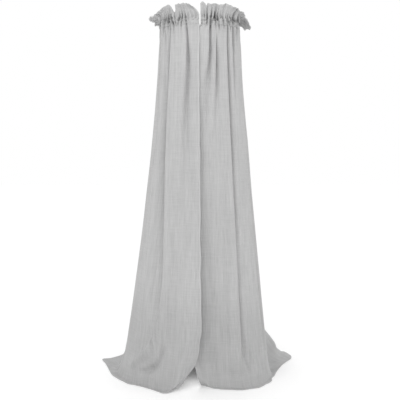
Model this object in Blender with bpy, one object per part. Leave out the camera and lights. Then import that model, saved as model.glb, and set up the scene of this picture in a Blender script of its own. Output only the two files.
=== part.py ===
"""Crib canopy of light grey cotton gauze, hanging from its hoop casing down to the floor.

Three pieces of cloth make it: the wide drop, open down the front, the gathered
casing that a hoop passes through, and the heading frill that stands above it.
Metres, +Z up, the front towards -Y. The origin is the middle of the hoop casing.
"""

import math
from collections import namedtuple

import bpy
import numpy as np

# ---------------------------------------------------------------- driving sizes
HOOP_HEIGHT = 1.42  # the hoop's plane above the floor
HOOP_HALF_WIDTH = 0.158
HOOP_HALF_DEPTH = 0.120
CASING_BELOW = 0.015  # lower gather line under the hoop's plane
CASING_ABOVE = 0.020  # upper gather line over the hoop's plane
CASING_BULGE = 0.003  # how far the casing bows out between its gather lines
FRILL_WIDTH = 0.046  # cloth that stands above the upper gather line

DROP_THICKNESS = 0.0016
CASING_THICKNESS = 0.0030  # two layers lying together
FRILL_THICKNESS = 0.0022
SEAM_GAP = 0.0003  # between two pieces that are sewn together

FLOOR = -HOOP_HEIGHT
CASING_FOOT = -CASING_BELOW
CASING_TOP = CASING_ABOVE
GIRTH_COLUMNS = 138
FINE_COLUMNS = 4000  # places where the columns' spacing is worked out
CLOSER_AT_CREASES = 1.5
CLOSER_AT_SPLIT = 1.2
CLOSE_REACH = 4.0  # degrees to both sides over which columns are closer
FRILL_SPLIT = 38.0  # where the frill falls open between its two left lobes

# The girth is measured in degrees round the hoop, from the middle of the front
# towards the left, so the left edge of the slit comes first and the right last.
LEFT_EDGE = 0.9
RIGHT_EDGE = 359.3

# How the drop leaves the straight line from hoop to floor: 1 is straight, more
# keeps it close to the hoop for longer.
FLARE_POWER = 1.35
GATHER_COUNT = 34
GATHER_DEPTH = 0.0048
GATHER_UNEVEN = (1.1, 0.8)  # radians by which gathers run ahead of even ones
GATHER_SWELL = 0.25  # share by which they are stronger or weaker round the hoop
GATHER_FADE = 0.064  # how far below the casing the small gathers run out
CREASE_EASE = 0.05  # height over which a crease opens under the casing
LAP_DEPTH = 0.005  # the slit's left edge lies this far forward, the right as far back
LAP_WIDTH = 0.012  # how far the right edge runs on behind the left one
LAP_RUN = 0.12  # height over which the two edges part from each other
LAP_REACH = 14.0  # degrees over which each edge eases back into its panel

# ---------------------------------------------------------------- the drop
# Where each line of the drop would reach the floor (fall) and where its hem lies
# (hem). turn is the height at which the cloth starts to bend outwards, landing the
# share of the way from fall to hem where it is down, lift how high it still is
# there, pull how far along that way it is drawn while it still hangs, and end how
# high over the floor the hem itself hovers.
Station = namedtuple("Station", "name girth fall_x fall_y hem_x hem_y turn landing lift pull end")
STATIONS = [
    Station("slit, left edge", 0.9, -0.002, -0.082, -0.066, -0.066, 0.24, 0.66, 0.048, 0.16, 0.015),
    Station("left lap", 9.0, -0.036, -0.090, -0.088, -0.083, 0.22, 0.60, 0.032, 0.18, 0.010),
    Station("left inner crease", 17.5, -0.080, -0.092, -0.109, -0.106, 0.17, 0.55, 0.014, 0.15, 0.005),
    Station("hem corner", 30.0, -0.122, -0.084, -0.133, -0.118, 0.14, 0.50, 0.000, 0.00, 0.000),
    Station("left long crease", 47.5, -0.178, -0.064, -0.172, -0.096, 0.16, 0.45, 0.000, 0.00, 0.000),
    Station("left front", 60.0, -0.236, -0.018, -0.232, -0.052, 0.18, 0.45, 0.000, 0.00, 0.000),
    Station("left foot", 72.0, -0.292, 0.036, -0.297, -0.010, 0.18, 0.45, 0.000, 0.05, 0.000),
    Station("left side", 86.0, -0.328, 0.090, -0.366, 0.084, 0.15, 0.45, 0.000, 0.05, 0.000),
    Station("before the left tip", 97.0, -0.336, 0.136, -0.418, 0.226, 0.12, 0.40, 0.000, 0.00, 0.000),
    Station("left tip", 101.0, -0.336, 0.150, -0.440, 0.280, 0.10, 0.40, 0.000, 0.00, 0.000),
    Station("after the left tip", 105.0, -0.334, 0.168, -0.410, 0.298, 0.10, 0.40, 0.000, 0.00, 0.000),
    Station("left back", 119.0, -0.304, 0.228, -0.330, 0.380, 0.11, 0.45, 0.000, 0.00, 0.000),
    Station("back left", 143.0, -0.198, 0.300, -0.216, 0.404, 0.14, 0.45, 0.000, 0.00, 0.000),
    Station("back", 178.0, -0.010, 0.322, -0.010, 0.420, 0.14, 0.45, 0.000, 0.00, 0.000),
    Station("back right", 212.0, 0.172, 0.306, 0.190, 0.412, 0.16, 0.45, 0.000, 0.00, 0.000),
    Station("right back corner", 232.0, 0.262, 0.276, 0.352, 0.400, 0.22, 0.70, 0.006, 0.12, 0.000),
    Station("right back tip", 244.0, 0.286, 0.226, 0.420, 0.320, 0.24, 0.80, 0.024, 0.24, 0.000),
    Station("right hollow", 258.0, 0.290, 0.150, 0.358, 0.200, 0.11, 0.55, 0.000, 0.05, 0.000),
    Station("right side", 270.0, 0.290, 0.082, 0.313, 0.082, 0.12, 0.60, 0.000, 0.00, 0.000),
    Station("right front", 288.0, 0.264, 0.006, 0.276, -0.014, 0.14, 0.50, 0.000, 0.00, 0.000),
    Station("right foot", 303.0, 0.212, -0.034, 0.226, -0.062, 0.12, 0.50, 0.000, 0.00, 0.000),
    Station("right long crease", 317.5, 0.168, -0.050, 0.178, -0.082, 0.12, 0.50, 0.000, 0.00, 0.000),
    Station("right middle crease", 336.5, 0.096, -0.050, 0.106, -0.080, 0.12, 0.50, 0.000, 0.00, 0.000),
    Station("right inner crease", 347.0, 0.042, -0.052, 0.054, -0.068, 0.12, 0.50, 0.004, 0.00, 0.000),
    Station("slit, right edge", 359.3, -0.017, -0.074, 0.004, -0.040, 0.16, 0.60, 0.024, 0.25, 0.000),
]

# Creases that run in from the outside. The cloth dips to its deepest at girth,
# over before degrees on the side of the smaller angle and after degrees on the
# other; the three depths are at the casing, half way down and at the foot. A
# negative depth is a ridge.
Crease = namedtuple("Crease", "name girth before after top middle foot")
CREASES = [
    Crease("by the slit, left", 8.0, 2.4, 4.0, 0.005, 0.002, 0.000),
    Crease("left inner", 17.0, 7.5, 1.3, 0.024, 0.006, 0.000),
    Crease("left panel's hollow", 27.0, 14.0, 12.0, 0.000, 0.016, 0.010),
    Crease("left long", 47.5, 1.4, 11.0, 0.028, 0.036, 0.000),
    Crease("left of the long one", 57.0, 3.0, 3.0, 0.007, 0.002, 0.000),
    Crease("left edge's ridge", 67.0, 7.0, 4.0, 0.000, -0.007, -0.003),
    Crease("left side", 73.0, 4.0, 4.0, 0.012, 0.005, 0.004),
    Crease("left back, first", 96.0, 6.0, 4.0, 0.012, 0.012, 0.006),
    Crease("left back, second", 122.0, 5.0, 7.0, 0.013, 0.018, 0.016),
    Crease("back, first", 146.0, 7.0, 4.0, 0.014, 0.012, 0.008),
    Crease("back, second", 169.0, 4.0, 6.0, 0.011, 0.017, 0.016),
    Crease("back, third", 193.0, 7.0, 5.0, 0.014, 0.012, 0.008),
    Crease("back, fourth", 219.0, 5.0, 7.0, 0.012, 0.018, 0.018),
    Crease("right hollow", 259.5, 6.0, 2.8, 0.010, 0.026, 0.042),
    Crease("right side's ridge", 271.0, 5.0, 4.0, 0.000, -0.006, -0.002),
    Crease("right edge's fold", 278.5, 4.0, 3.0, 0.006, 0.012, 0.006),
    Crease("right of the long one", 305.0, 4.0, 2.0, 0.014, 0.004, 0.000),
    Crease("right long", 316.0, 6.0, 1.6, 0.022, 0.014, 0.006),
    Crease("right panel's hollow", 333.0, 8.0, 13.0, 0.000, 0.010, 0.006),
    Crease("right middle", 336.5, 4.0, 1.4, 0.018, 0.003, 0.000),
    Crease("right inner", 346.5, 4.5, 1.6, 0.021, 0.003, 0.000),
    Crease("slit's hollow", 355.0, 13.0, 4.0, 0.000, 0.014, 0.012),
]

CREASE_START = 0.3  # share of its top depth that a crease has right at the casing
CREASE_RUN = 0.06  # share of the fall in which it reaches that depth

# Heights of the drop's rows, as shares of the way from the casing down to the
# height where a line starts to turn; then steps round the turn and over the floor.
FALL_ROWS = (0.0, 0.008, 0.024, 0.05, 0.09, 0.15, 0.23, 0.34, 0.47, 0.62, 0.76, 0.88, 1.0)
TURN_ROWS = (0.3, 0.6, 1.0)
FLOOR_ROWS = (0.55, 1.0)

# Soft ridges and hollows that the cloth buckles into above the floor. Each is a
# bent line of places on the cloth: girth, run (the length of cloth from the hem),
# width to both sides, and height outwards (inwards where it is negative).
On = namedtuple("On", "girth run width height")
FORMS = {
    "left ridge": [
        On(45.6, 0.400, 0.016, 0.000),
        On(48.4, 0.290, 0.018, 0.013),
        On(50.6, 0.220, 0.020, 0.016),
        On(54.5, 0.170, 0.021, 0.018),
        On(61.0, 0.135, 0.021, 0.015),
        On(70.0, 0.100, 0.020, 0.009),
        On(78.0, 0.080, 0.018, 0.000),
    ],
    "left hollow": [
        On(40.0, 0.220, 0.018, 0.000),
        On(43.0, 0.160, 0.019, -0.010),
        On(46.5, 0.112, 0.018, -0.014),
        On(53.0, 0.084, 0.017, -0.016),
        On(59.0, 0.070, 0.016, -0.012),
        On(64.0, 0.072, 0.014, 0.000),
    ],
    "right long ridge": [
        On(309.0, 0.220, 0.016, 0.003),
        On(307.0, 0.170, 0.017, 0.007),
        On(300.5, 0.118, 0.018, 0.008),
        On(297.0, 0.069, 0.018, 0.004),
    ],
    "right notch": [
        On(265.0, 0.300, 0.018, 0.000),
        On(265.0, 0.220, 0.019, -0.010),
        On(264.0, 0.120, 0.020, -0.016),
        On(263.0, 0.040, 0.020, -0.012),
    ],
}
METRES_A_DEGREE = 0.0064  # of girth, at the foot

# ---------------------------------------------------------------- the frill
# Where the free edge is for each place of the root: side is how far it swings
# round the hoop, towards the left from the front, out how far it stands off, up how
# high over the stitches; wave is how much it ruffles there.
Edge = namedtuple("Edge", "girth side out up wave")
EDGES = [
    Edge(0.9, 0.026, 0.008, 0.030, 0.0006),
    Edge(4.0, 0.0235, 0.012, 0.033, 0.0014),
    Edge(8.0, 0.020, 0.014, 0.035, 0.0020),
    Edge(13.0, 0.0165, 0.015, 0.037, 0.0026),
    Edge(18.0, 0.011, 0.015, 0.040, 0.0024),
    Edge(23.0, 0.008, 0.014, 0.039, 0.0020),
    Edge(28.0, 0.005, 0.013, 0.037, 0.0016),
    Edge(32.0, 0.004, 0.011, 0.037, 0.0010),
    Edge(34.6, 0.001, 0.009, 0.039, 0.0006),
    Edge(36.2, 0.000, 0.007, 0.030, 0.0000),
    Edge(38.4, -0.002, 0.004, 0.021, 0.0000),
    Edge(40.0, -0.003, 0.004, 0.021, 0.0000),
    Edge(42.0, -0.005, 0.005, 0.030, 0.0000),
    Edge(44.0, -0.007, 0.006, 0.033, 0.0014),
    Edge(46.0, -0.007, 0.008, 0.038, 0.0016),
    Edge(50.0, -0.006, 0.009, 0.042, 0.0018),
    Edge(55.0, -0.003, 0.009, 0.043, 0.0020),
    Edge(60.0, 0.001, 0.010, 0.038, 0.0022),
    Edge(66.0, 0.001, 0.014, 0.032, 0.0022),
    Edge(72.0, 0.000, 0.020, 0.025, 0.0022),
    Edge(78.0, -0.002, 0.029, 0.019, 0.0020),
    Edge(84.0, -0.002, 0.037, 0.014, 0.0018),
    Edge(90.0, 0.000, 0.043, 0.010, 0.0018),
    Edge(97.0, 0.002, 0.039, 0.006, 0.0020),
    Edge(104.0, 0.002, 0.030, 0.001, 0.0030),
    Edge(114.0, 0.000, 0.034, 0.000, 0.0060),
    Edge(130.0, 0.002, 0.044, -0.004, 0.0085),
    Edge(150.0, -0.002, 0.040, 0.008, 0.0085),
    Edge(170.0, 0.002, 0.044, 0.000, 0.0085),
    Edge(190.0, -0.002, 0.040, 0.008, 0.0085),
    Edge(210.0, 0.002, 0.044, -0.002, 0.0085),
    Edge(228.0, 0.000, 0.042, 0.006, 0.0085),
    Edge(242.0, 0.000, 0.044, -0.006, 0.0070),
    Edge(252.0, 0.000, 0.034, -0.010, 0.0030),
    Edge(260.0, 0.000, 0.033, -0.016, 0.0024),
    Edge(268.0, 0.000, 0.038, -0.019, 0.0020),
    Edge(274.0, 0.002, 0.039, -0.016, 0.0022),
    Edge(280.0, 0.002, 0.031, -0.007, 0.0022),
    Edge(285.0, 0.000, 0.022, 0.012, 0.0020),
    Edge(290.0, -0.002, 0.022, 0.020, 0.0020),
    Edge(296.0, -0.004, 0.021, 0.022, 0.0020),
    Edge(302.0, -0.006, 0.019, 0.024, 0.0020),
    Edge(308.0, -0.008, 0.019, 0.028, 0.0020),
    Edge(314.0, -0.010, 0.016, 0.033, 0.0020),
    Edge(320.0, -0.009, 0.013, 0.038, 0.0020),
    Edge(326.0, -0.007, 0.010, 0.041, 0.0020),
    Edge(330.5, -0.005, 0.007, 0.042, 0.0024),
    Edge(334.0, -0.004, 0.002, 0.038, 0.0030),
    Edge(337.0, -0.004, 0.004, 0.039, 0.0034),
    Edge(341.0, -0.003, 0.009, 0.042, 0.0036),
    Edge(344.5, -0.003, 0.009, 0.041, 0.0036),
    Edge(347.5, -0.003, 0.007, 0.038, 0.0034),
    Edge(349.6, -0.002, 0.004, 0.041, 0.0026),
    Edge(351.4, 0.000, -0.002, 0.036, 0.0010),
    Edge(353.0, 0.000, -0.002, 0.042, 0.0006),
    Edge(355.2, 0.000, 0.001, 0.047, 0.0006),
    Edge(357.4, 0.000, 0.003, 0.046, 0.0006),
    Edge(359.3, 0.000, 0.000, 0.041, 0.0004),
]
RUFFLE_COUNT = 21
RUFFLE_UNEVEN = (1.3, 0.9)  # radians by which its waves run ahead of even ones
FRILL_STEPS = 6
FRILL_STAND = 0.5  # share of its width over which the frill still stands upright
EDGE_STEP = 0.1  # degrees between the places where the table is read
EDGE_ROUNDING = 51  # places over which its corners are rounded
CASING_STEPS = 3

GAUZE_GREY = (0.455, 0.455, 0.455, 1.0)
GAUZE_ROUGHNESS = 0.92


def clear_scene():
    for thing in list(bpy.data.objects):
        bpy.data.objects.remove(thing, do_unlink=True)


def smooth_column(rows, column, girth):
    """A smooth curve through one column of a table, read at each girth."""
    known = np.array([row.girth for row in rows])
    value = np.array([getattr(row, column) for row in rows])
    slope = np.gradient(value, known)
    place = np.clip(np.searchsorted(known, girth) - 1, 0, len(known) - 2)
    span = known[place + 1] - known[place]
    t = (girth - known[place]) / span
    start = (2 * t**3 - 3 * t**2 + 1) * value[place]
    leave = (t**3 - 2 * t**2 + t) * span * slope[place]
    end = (3 * t**2 - 2 * t**3) * value[place + 1]
    arrive = (t**3 - t**2) * span * slope[place + 1]
    return start + leave + end + arrive


def ease(share):
    share = np.clip(share, 0.0, 1.0)
    return share * share * (3.0 - 2.0 * share)


def girth_columns():
    """Degrees of the columns, closer together where a crease is sharp."""
    fine = np.linspace(LEFT_EDGE, RIGHT_EDGE, FINE_COLUMNS)
    density = np.ones_like(fine)
    for crease in CREASES:
        sharp = min(crease.before, crease.after)
        near = np.exp(-(((fine - crease.girth) / CLOSE_REACH) ** 2))
        density += CLOSER_AT_CREASES * near / sharp**0.5
    density += CLOSER_AT_SPLIT * np.exp(-(((fine - FRILL_SPLIT) / CLOSE_REACH) ** 2))
    total = np.concatenate([[0.0], np.cumsum((density[1:] + density[:-1]) / 2.0)])
    return np.interp(np.linspace(0.0, total[-1], GIRTH_COLUMNS), total, fine)


def hoop_point(girth):
    """Plan position on the hoop's oval."""
    angle = np.radians(girth)
    return -HOOP_HALF_WIDTH * np.sin(angle), -HOOP_HALF_DEPTH * np.cos(angle)


def hoop_outward(girth):
    """Plan direction straight out from the hoop's oval."""
    angle = np.radians(girth)
    x = -np.sin(angle) / HOOP_HALF_WIDTH
    y = -np.cos(angle) / HOOP_HALF_DEPTH
    size = np.hypot(x, y)
    return x / size, y / size


def gathers(girth):
    """The small uneven gathers that both stitch lines draw up, from -1 to 1."""
    turn = np.radians(girth)
    ahead = GATHER_UNEVEN[0] * np.sin(3 * turn) + GATHER_UNEVEN[1] * np.sin(8 * turn)
    swell = 1.0 - GATHER_SWELL + GATHER_SWELL * np.sin(5 * turn)
    return swell * np.sin(GATHER_COUNT * turn + ahead)


def ruffles(girth):
    """The wider waves of the frill's free edge, from -1 to 1."""
    turn = np.radians(girth)
    ahead = RUFFLE_UNEVEN[0] * np.sin(2 * turn) + RUFFLE_UNEVEN[1] * np.sin(5 * turn)
    return np.sin(RUFFLE_COUNT * turn + ahead)


def crease_depth(girth, share):
    """How far the cloth is folded in, at a share of the way from casing to floor."""
    depth = np.zeros_like(girth)
    for crease in CREASES:
        offset = girth - crease.girth
        width = np.where(offset < 0, crease.before, crease.after)
        depths = (CREASE_START * crease.top, crease.top, crease.middle, crease.foot)
        here = np.interp(share, (0.0, CREASE_RUN, 0.5, 1.0), depths)
        depth += here * np.exp(-((offset / width) ** 2))
    return depth


def lap_offset(girth, below_casing):
    """The slit's left edge comes forward and the right one goes back."""
    parting = ease(below_casing / LAP_RUN)
    left = ease(1.0 - (girth - LEFT_EDGE) / LAP_REACH)
    right = ease(1.0 - (RIGHT_EDGE - girth) / LAP_REACH)
    return LAP_DEPTH * parting * (left - right), LAP_WIDTH * parting * right


def grid_normals(grid):
    """Unit normals of a grid of points, facing outwards."""
    along = np.gradient(grid, axis=1)
    down = np.gradient(grid, axis=0)
    normal = np.cross(along, down)
    return normal / np.linalg.norm(normal, axis=2, keepdims=True)


def drop_base(girth):
    """The drop without its creases: rows from the casing to the hem."""
    top_x, top_y = hoop_point(girth)
    fall_x = smooth_column(STATIONS, "fall_x", girth)
    fall_y = smooth_column(STATIONS, "fall_y", girth)
    hem_x = smooth_column(STATIONS, "hem_x", girth)
    hem_y = smooth_column(STATIONS, "hem_y", girth)
    turn = smooth_column(STATIONS, "turn", girth)
    top = HOOP_HEIGHT - CASING_BELOW - SEAM_GAP
    lying = DROP_THICKNESS / 2.0
    rows = []
    shares = []
    for step in FALL_ROWS:
        height = top + (turn - top) * step
        share = (1.0 - height / top) ** FLARE_POWER
        x = top_x + (fall_x - top_x) * share
        y = top_y + (fall_y - top_y) * share
        rows.append(np.stack([x, y, FLOOR + height], axis=1))
        shares.append(1.0 - height / top)
    start = rows[-1]
    fall = np.stack([fall_x, fall_y, np.full_like(girth, FLOOR + lying)], axis=1)
    end = np.maximum(smooth_column(STATIONS, "end", girth), 0.0)
    hem = np.stack([hem_x, hem_y, FLOOR + lying + end], axis=1)
    pull = smooth_column(STATIONS, "pull", girth)
    down = smooth_column(STATIONS, "landing", girth)
    lift = np.maximum(smooth_column(STATIONS, "lift", girth), 0.0)
    corner = fall + (hem - fall) * pull[:, None]
    corner[:, 2] += 2.0 * lift
    landing = fall + (hem - fall) * down[:, None]
    landing[:, 2] += lift
    for step in TURN_ROWS:
        rows.append((1 - step) ** 2 * start + 2 * step * (1 - step) * corner + step**2 * landing)
        shares.append(np.full_like(girth, 1.0))
    for step in FLOOR_ROWS:
        rows.append(landing + (hem - landing) * step)
        shares.append(np.full_like(girth, 1.0))
    return np.array(rows), np.array(shares)


def run_from_hem(grid):
    """Length of cloth from each point down to the hem."""
    steps = np.linalg.norm(np.diff(grid, axis=0), axis=2)
    total = np.concatenate([np.zeros((1, grid.shape[1])), np.cumsum(steps, axis=0)])
    return total[-1] - total


def foot_forms(girth, run):
    """Height of the ridges and hollows of the foot at every point of the drop."""
    height = np.zeros_like(run)
    across = np.broadcast_to(girth * METRES_A_DEGREE, run.shape)
    for places in FORMS.values():
        form = np.zeros_like(run)
        for first, last in zip(places[:-1], places[1:]):
            a = np.array([first.girth * METRES_A_DEGREE, first.run])
            way = np.array([last.girth * METRES_A_DEGREE, last.run]) - a
            along = (across - a[0]) * way[0] + (run - a[1]) * way[1]
            t = np.clip(along / (way @ way), 0.0, 1.0)
            far = np.hypot(across - a[0] - t * way[0], run - a[1] - t * way[1])
            width = first.width + (last.width - first.width) * t
            here = first.height + (last.height - first.height) * t
            here = here * np.exp(-((far / width) ** 2))
            form = np.where(np.abs(here) > np.abs(form), here, form)
        height += form
    return height


def drop_grid(girth):
    """The middle surface of the drop with its creases, gathers and lap."""
    base, shares = drop_base(girth)
    normal = grid_normals(base)
    normal[0, :, 2] = 0.0
    normal[0] /= np.linalg.norm(normal[0], axis=1, keepdims=True)
    grid = base.copy()
    forms = foot_forms(girth, run_from_hem(base))
    hanging = [1.0] * len(FALL_ROWS) + [1.0 - step for step in TURN_ROWS] + [0.0] * len(FLOOR_ROWS)
    for row, kept in enumerate(hanging):
        below = CASING_FOOT - base[row, :, 2]
        offset = GATHER_DEPTH * gathers(girth) * np.exp(-below / GATHER_FADE)
        offset -= crease_depth(girth, shares[row]) * ease(below / CREASE_EASE)
        forward, across = lap_offset(girth, below)
        moved = (offset + forward) * kept + forms[row]
        grid[row] += normal[row] * moved[:, None]
        grid[row, :, 0] -= across * kept
    grid[:, :, 2] = np.maximum(grid[:, :, 2], FLOOR + DROP_THICKNESS / 2.0)
    grid[0, :, 2] = base[0, :, 2]
    return grid


def casing_grid(girth):
    """The gathered band between its two stitch lines."""
    x, y = hoop_point(girth)
    out_x, out_y = hoop_outward(girth)
    rows = []
    for step in np.linspace(0.0, 1.0, CASING_STEPS + 1):
        height = CASING_TOP + (CASING_FOOT - CASING_TOP) * step
        middle = math.sin(math.pi * step)
        offset = GATHER_DEPTH * gathers(girth) + CASING_BULGE * middle
        level = np.full_like(girth, height)
        rows.append(np.stack([x + out_x * offset, y + out_y * offset, level], axis=1))
    return np.array(rows)


def edge_column(name, girth):
    """One column of the frill's table, with its corners rounded."""
    margin = EDGE_STEP * EDGE_ROUNDING
    fine = np.arange(LEFT_EDGE - margin, RIGHT_EDGE + margin, EDGE_STEP)
    value = np.interp(fine, [edge.girth for edge in EDGES], [getattr(e, name) for e in EDGES])
    window = np.hanning(EDGE_ROUNDING)
    value = np.convolve(value, window / window.sum(), mode="same")
    return np.interp(girth, fine, value)


def frill_grid(girth):
    """The frill, from its free edge down to the upper stitch line."""
    x, y = hoop_point(girth)
    out_x, out_y = hoop_outward(girth)
    side_x, side_y = out_y, -out_x
    side, reach, rise, wave = (edge_column(name, girth) for name in ("side", "out", "up", "wave"))
    rows = []
    for step in range(FRILL_STEPS + 1):
        share = step / FRILL_STEPS
        bow = 2.0 * share * (1.0 - share)
        far = share * share
        sway = far * side
        up = CASING_TOP + SEAM_GAP + bow * FRILL_STAND * FRILL_WIDTH + far * rise
        relief = GATHER_DEPTH * gathers(girth) * (1.0 - 0.6 * share)
        relief = relief + wave * ruffles(girth) * share
        tilt = np.arctan2(2.0 * share * reach, FRILL_WIDTH * (1.0 - 0.6 * share))
        out = far * reach + relief * np.cos(tilt)
        up = up - relief * np.sin(tilt) * ease(2.0 * share)
        rows.append(np.stack([
            x + out_x * out + side_x * sway,
            y + out_y * out + side_y * sway,
            up,
        ], axis=1))
    return np.array(rows[::-1])


def make_material(name, colour, roughness):
    material = bpy.data.materials.new(name)
    material.use_nodes = True
    shader = material.node_tree.nodes["Principled BSDF"]
    shader.inputs["Base Color"].default_value = colour
    shader.inputs["Roughness"].default_value = roughness
    shader.inputs["Metallic"].default_value = 0.0
    material.diffuse_color = colour
    return material


def sheet_solid(name, grid, thickness, level_rows, on_floor=False):
    """A closed sheet round a grid of middle points; level_rows keep upright ends."""
    normal = grid_normals(grid)
    for row in level_rows:
        normal[row, :, 2] = 0.0
        normal[row] /= np.linalg.norm(normal[row], axis=1, keepdims=True)
    outer = grid + normal * thickness / 2.0
    inner = grid - normal * thickness / 2.0
    if on_floor:
        face_up = normal[:, :, 2] >= 0.0
        outer[:, :, 2] = np.maximum(outer[:, :, 2], FLOOR + np.where(face_up, thickness, 0.0))
        inner[:, :, 2] = np.maximum(inner[:, :, 2], FLOOR + np.where(face_up, 0.0, thickness))
    rows, columns = grid.shape[:2]
    points = np.concatenate([outer.reshape(-1, 3), inner.reshape(-1, 3)])
    count = rows * columns
    faces = []
    for row in range(rows - 1):
        for column in range(columns - 1):
            a = row * columns + column
            b = a + 1
            c = a + columns + 1
            d = a + columns
            faces.append((a, b, c, d))
            faces.append((a + count, d + count, c + count, b + count))
    for row in range(rows - 1):
        near = row * columns
        far = near + columns - 1
        faces.append((near, near + columns, near + columns + count, near + count))
        faces.append((far, far + count, far + columns + count, far + columns))
    for column in range(columns - 1):
        high = column
        low = (rows - 1) * columns + column
        faces.append((high, high + count, high + 1 + count, high + 1))
        faces.append((low, low + 1, low + 1 + count, low + count))
    mesh = bpy.data.meshes.new(name)
    mesh.from_pydata([tuple(point) for point in points], [], faces)
    mesh.update()
    mesh.shade_smooth()
    mesh.set_sharp_from_angle(angle=math.radians(60.0))
    cloth = bpy.data.objects.new(name, mesh)
    cloth.data.materials.append(make_material(name + "_gauze", GAUZE_GREY, GAUZE_ROUGHNESS))
    bpy.context.scene.collection.objects.link(cloth)
    return cloth


def build():
    clear_scene()
    girth = girth_columns()
    sheet_solid("drop", drop_grid(girth), DROP_THICKNESS, [0], on_floor=True)
    sheet_solid("casing", casing_grid(girth), CASING_THICKNESS, [0, -1])
    sheet_solid("frill", frill_grid(girth), FRILL_THICKNESS, [-1])


build()
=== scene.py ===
# %% [markdown]
# # A cot canopy of crinkled gauze
#
# A canopy like this is almost nothing but cloth: one wide piece of gauze, gathered round an
# oval hoop by two lines of stitches, open down the front, and long enough to lie on the
# floor. It could be made by cloth simulation alone, but then the folds fall where they like.
# Here every main fold is placed from a short table, and the small gathers, the
# crinkle and the stitches are worked out from rules, so the cloth hangs as the real one does
# and comes out the same on every run.
#
# The units are metres, +Z is up and the front is towards -Y. The origin is the middle of the
# hoop casing.

import math
from collections import namedtuple

import bmesh
import bpy
import numpy as np
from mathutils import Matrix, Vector


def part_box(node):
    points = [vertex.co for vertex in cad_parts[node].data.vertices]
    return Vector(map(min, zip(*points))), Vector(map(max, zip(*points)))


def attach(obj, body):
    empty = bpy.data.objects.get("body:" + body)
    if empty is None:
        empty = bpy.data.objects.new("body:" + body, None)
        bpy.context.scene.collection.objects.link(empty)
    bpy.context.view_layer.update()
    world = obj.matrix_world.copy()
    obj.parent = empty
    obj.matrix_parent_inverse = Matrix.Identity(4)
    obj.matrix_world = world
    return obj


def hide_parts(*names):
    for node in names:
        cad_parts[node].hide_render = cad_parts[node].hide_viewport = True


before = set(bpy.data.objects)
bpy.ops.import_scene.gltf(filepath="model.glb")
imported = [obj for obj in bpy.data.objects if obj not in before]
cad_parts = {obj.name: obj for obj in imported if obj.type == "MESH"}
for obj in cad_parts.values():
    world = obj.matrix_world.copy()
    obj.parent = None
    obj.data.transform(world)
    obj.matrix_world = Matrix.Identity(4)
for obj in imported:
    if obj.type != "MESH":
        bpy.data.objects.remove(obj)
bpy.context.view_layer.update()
print("nodes in the frame:", ", ".join(sorted(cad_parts)))

# %% [markdown]
# ## Sizes
#
# The floor and the two lines of gathers are read from the frame, so this cloth meets the
# solids that it stands for. The other sizes are the cloth's own: how wide it was cut, how
# close it lies to the floor, how wide a hem is.

# %% Sizes
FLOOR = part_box("drop")[0][2]
CASING_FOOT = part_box("casing")[0][2]
CASING_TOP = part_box("casing")[1][2]
HOOP_HALF_WIDTH = 0.158
HOOP_HALF_DEPTH = 0.120

CUT_WIDTH_TOP = 1.50  # the tapered panels' width where they are gathered
CUT_WIDTH_FOOT = 2.30
CASING_LAYER = 0.0024  # from the outer layer of the casing to the inner one
LYING = 0.0022  # how high over the floor the cloth's outer face lies
HEM_LYING = 0.0004  # and its turned-in hem, at least
HEM_WIDTH = 0.008
HEM_DEPTH = 0.0012  # from the face to the turned-in layer
FRILL_WIDTH = 0.046

# Degrees round the hoop, from the middle of the front towards the left.
LEFT_EDGE = 0.9
RIGHT_EDGE = 359.3
DEGREE_AT_HOOP = 0.00243  # metres of the hoop's girth in a degree
print("floor %.3f, casing from %.3f to %.3f" % (FLOOR, CASING_FOOT, CASING_TOP))

# %% [markdown]
# ## The line of the hem
#
# Each row of this table is one line of the cloth, from the casing down. `fall` is where it
# would meet the floor if it hung straight on, `hem` is where its end lies, `turn` is the
# height at which it begins to bend outwards, `landing` the share of the way from fall to hem
# where it is down, `lift` how high it still is there, `pull` how far along that way it is
# drawn while it still hangs, and `end` how high over the floor the hem itself hovers. Between
# the rows the values follow a smooth curve.

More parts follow.
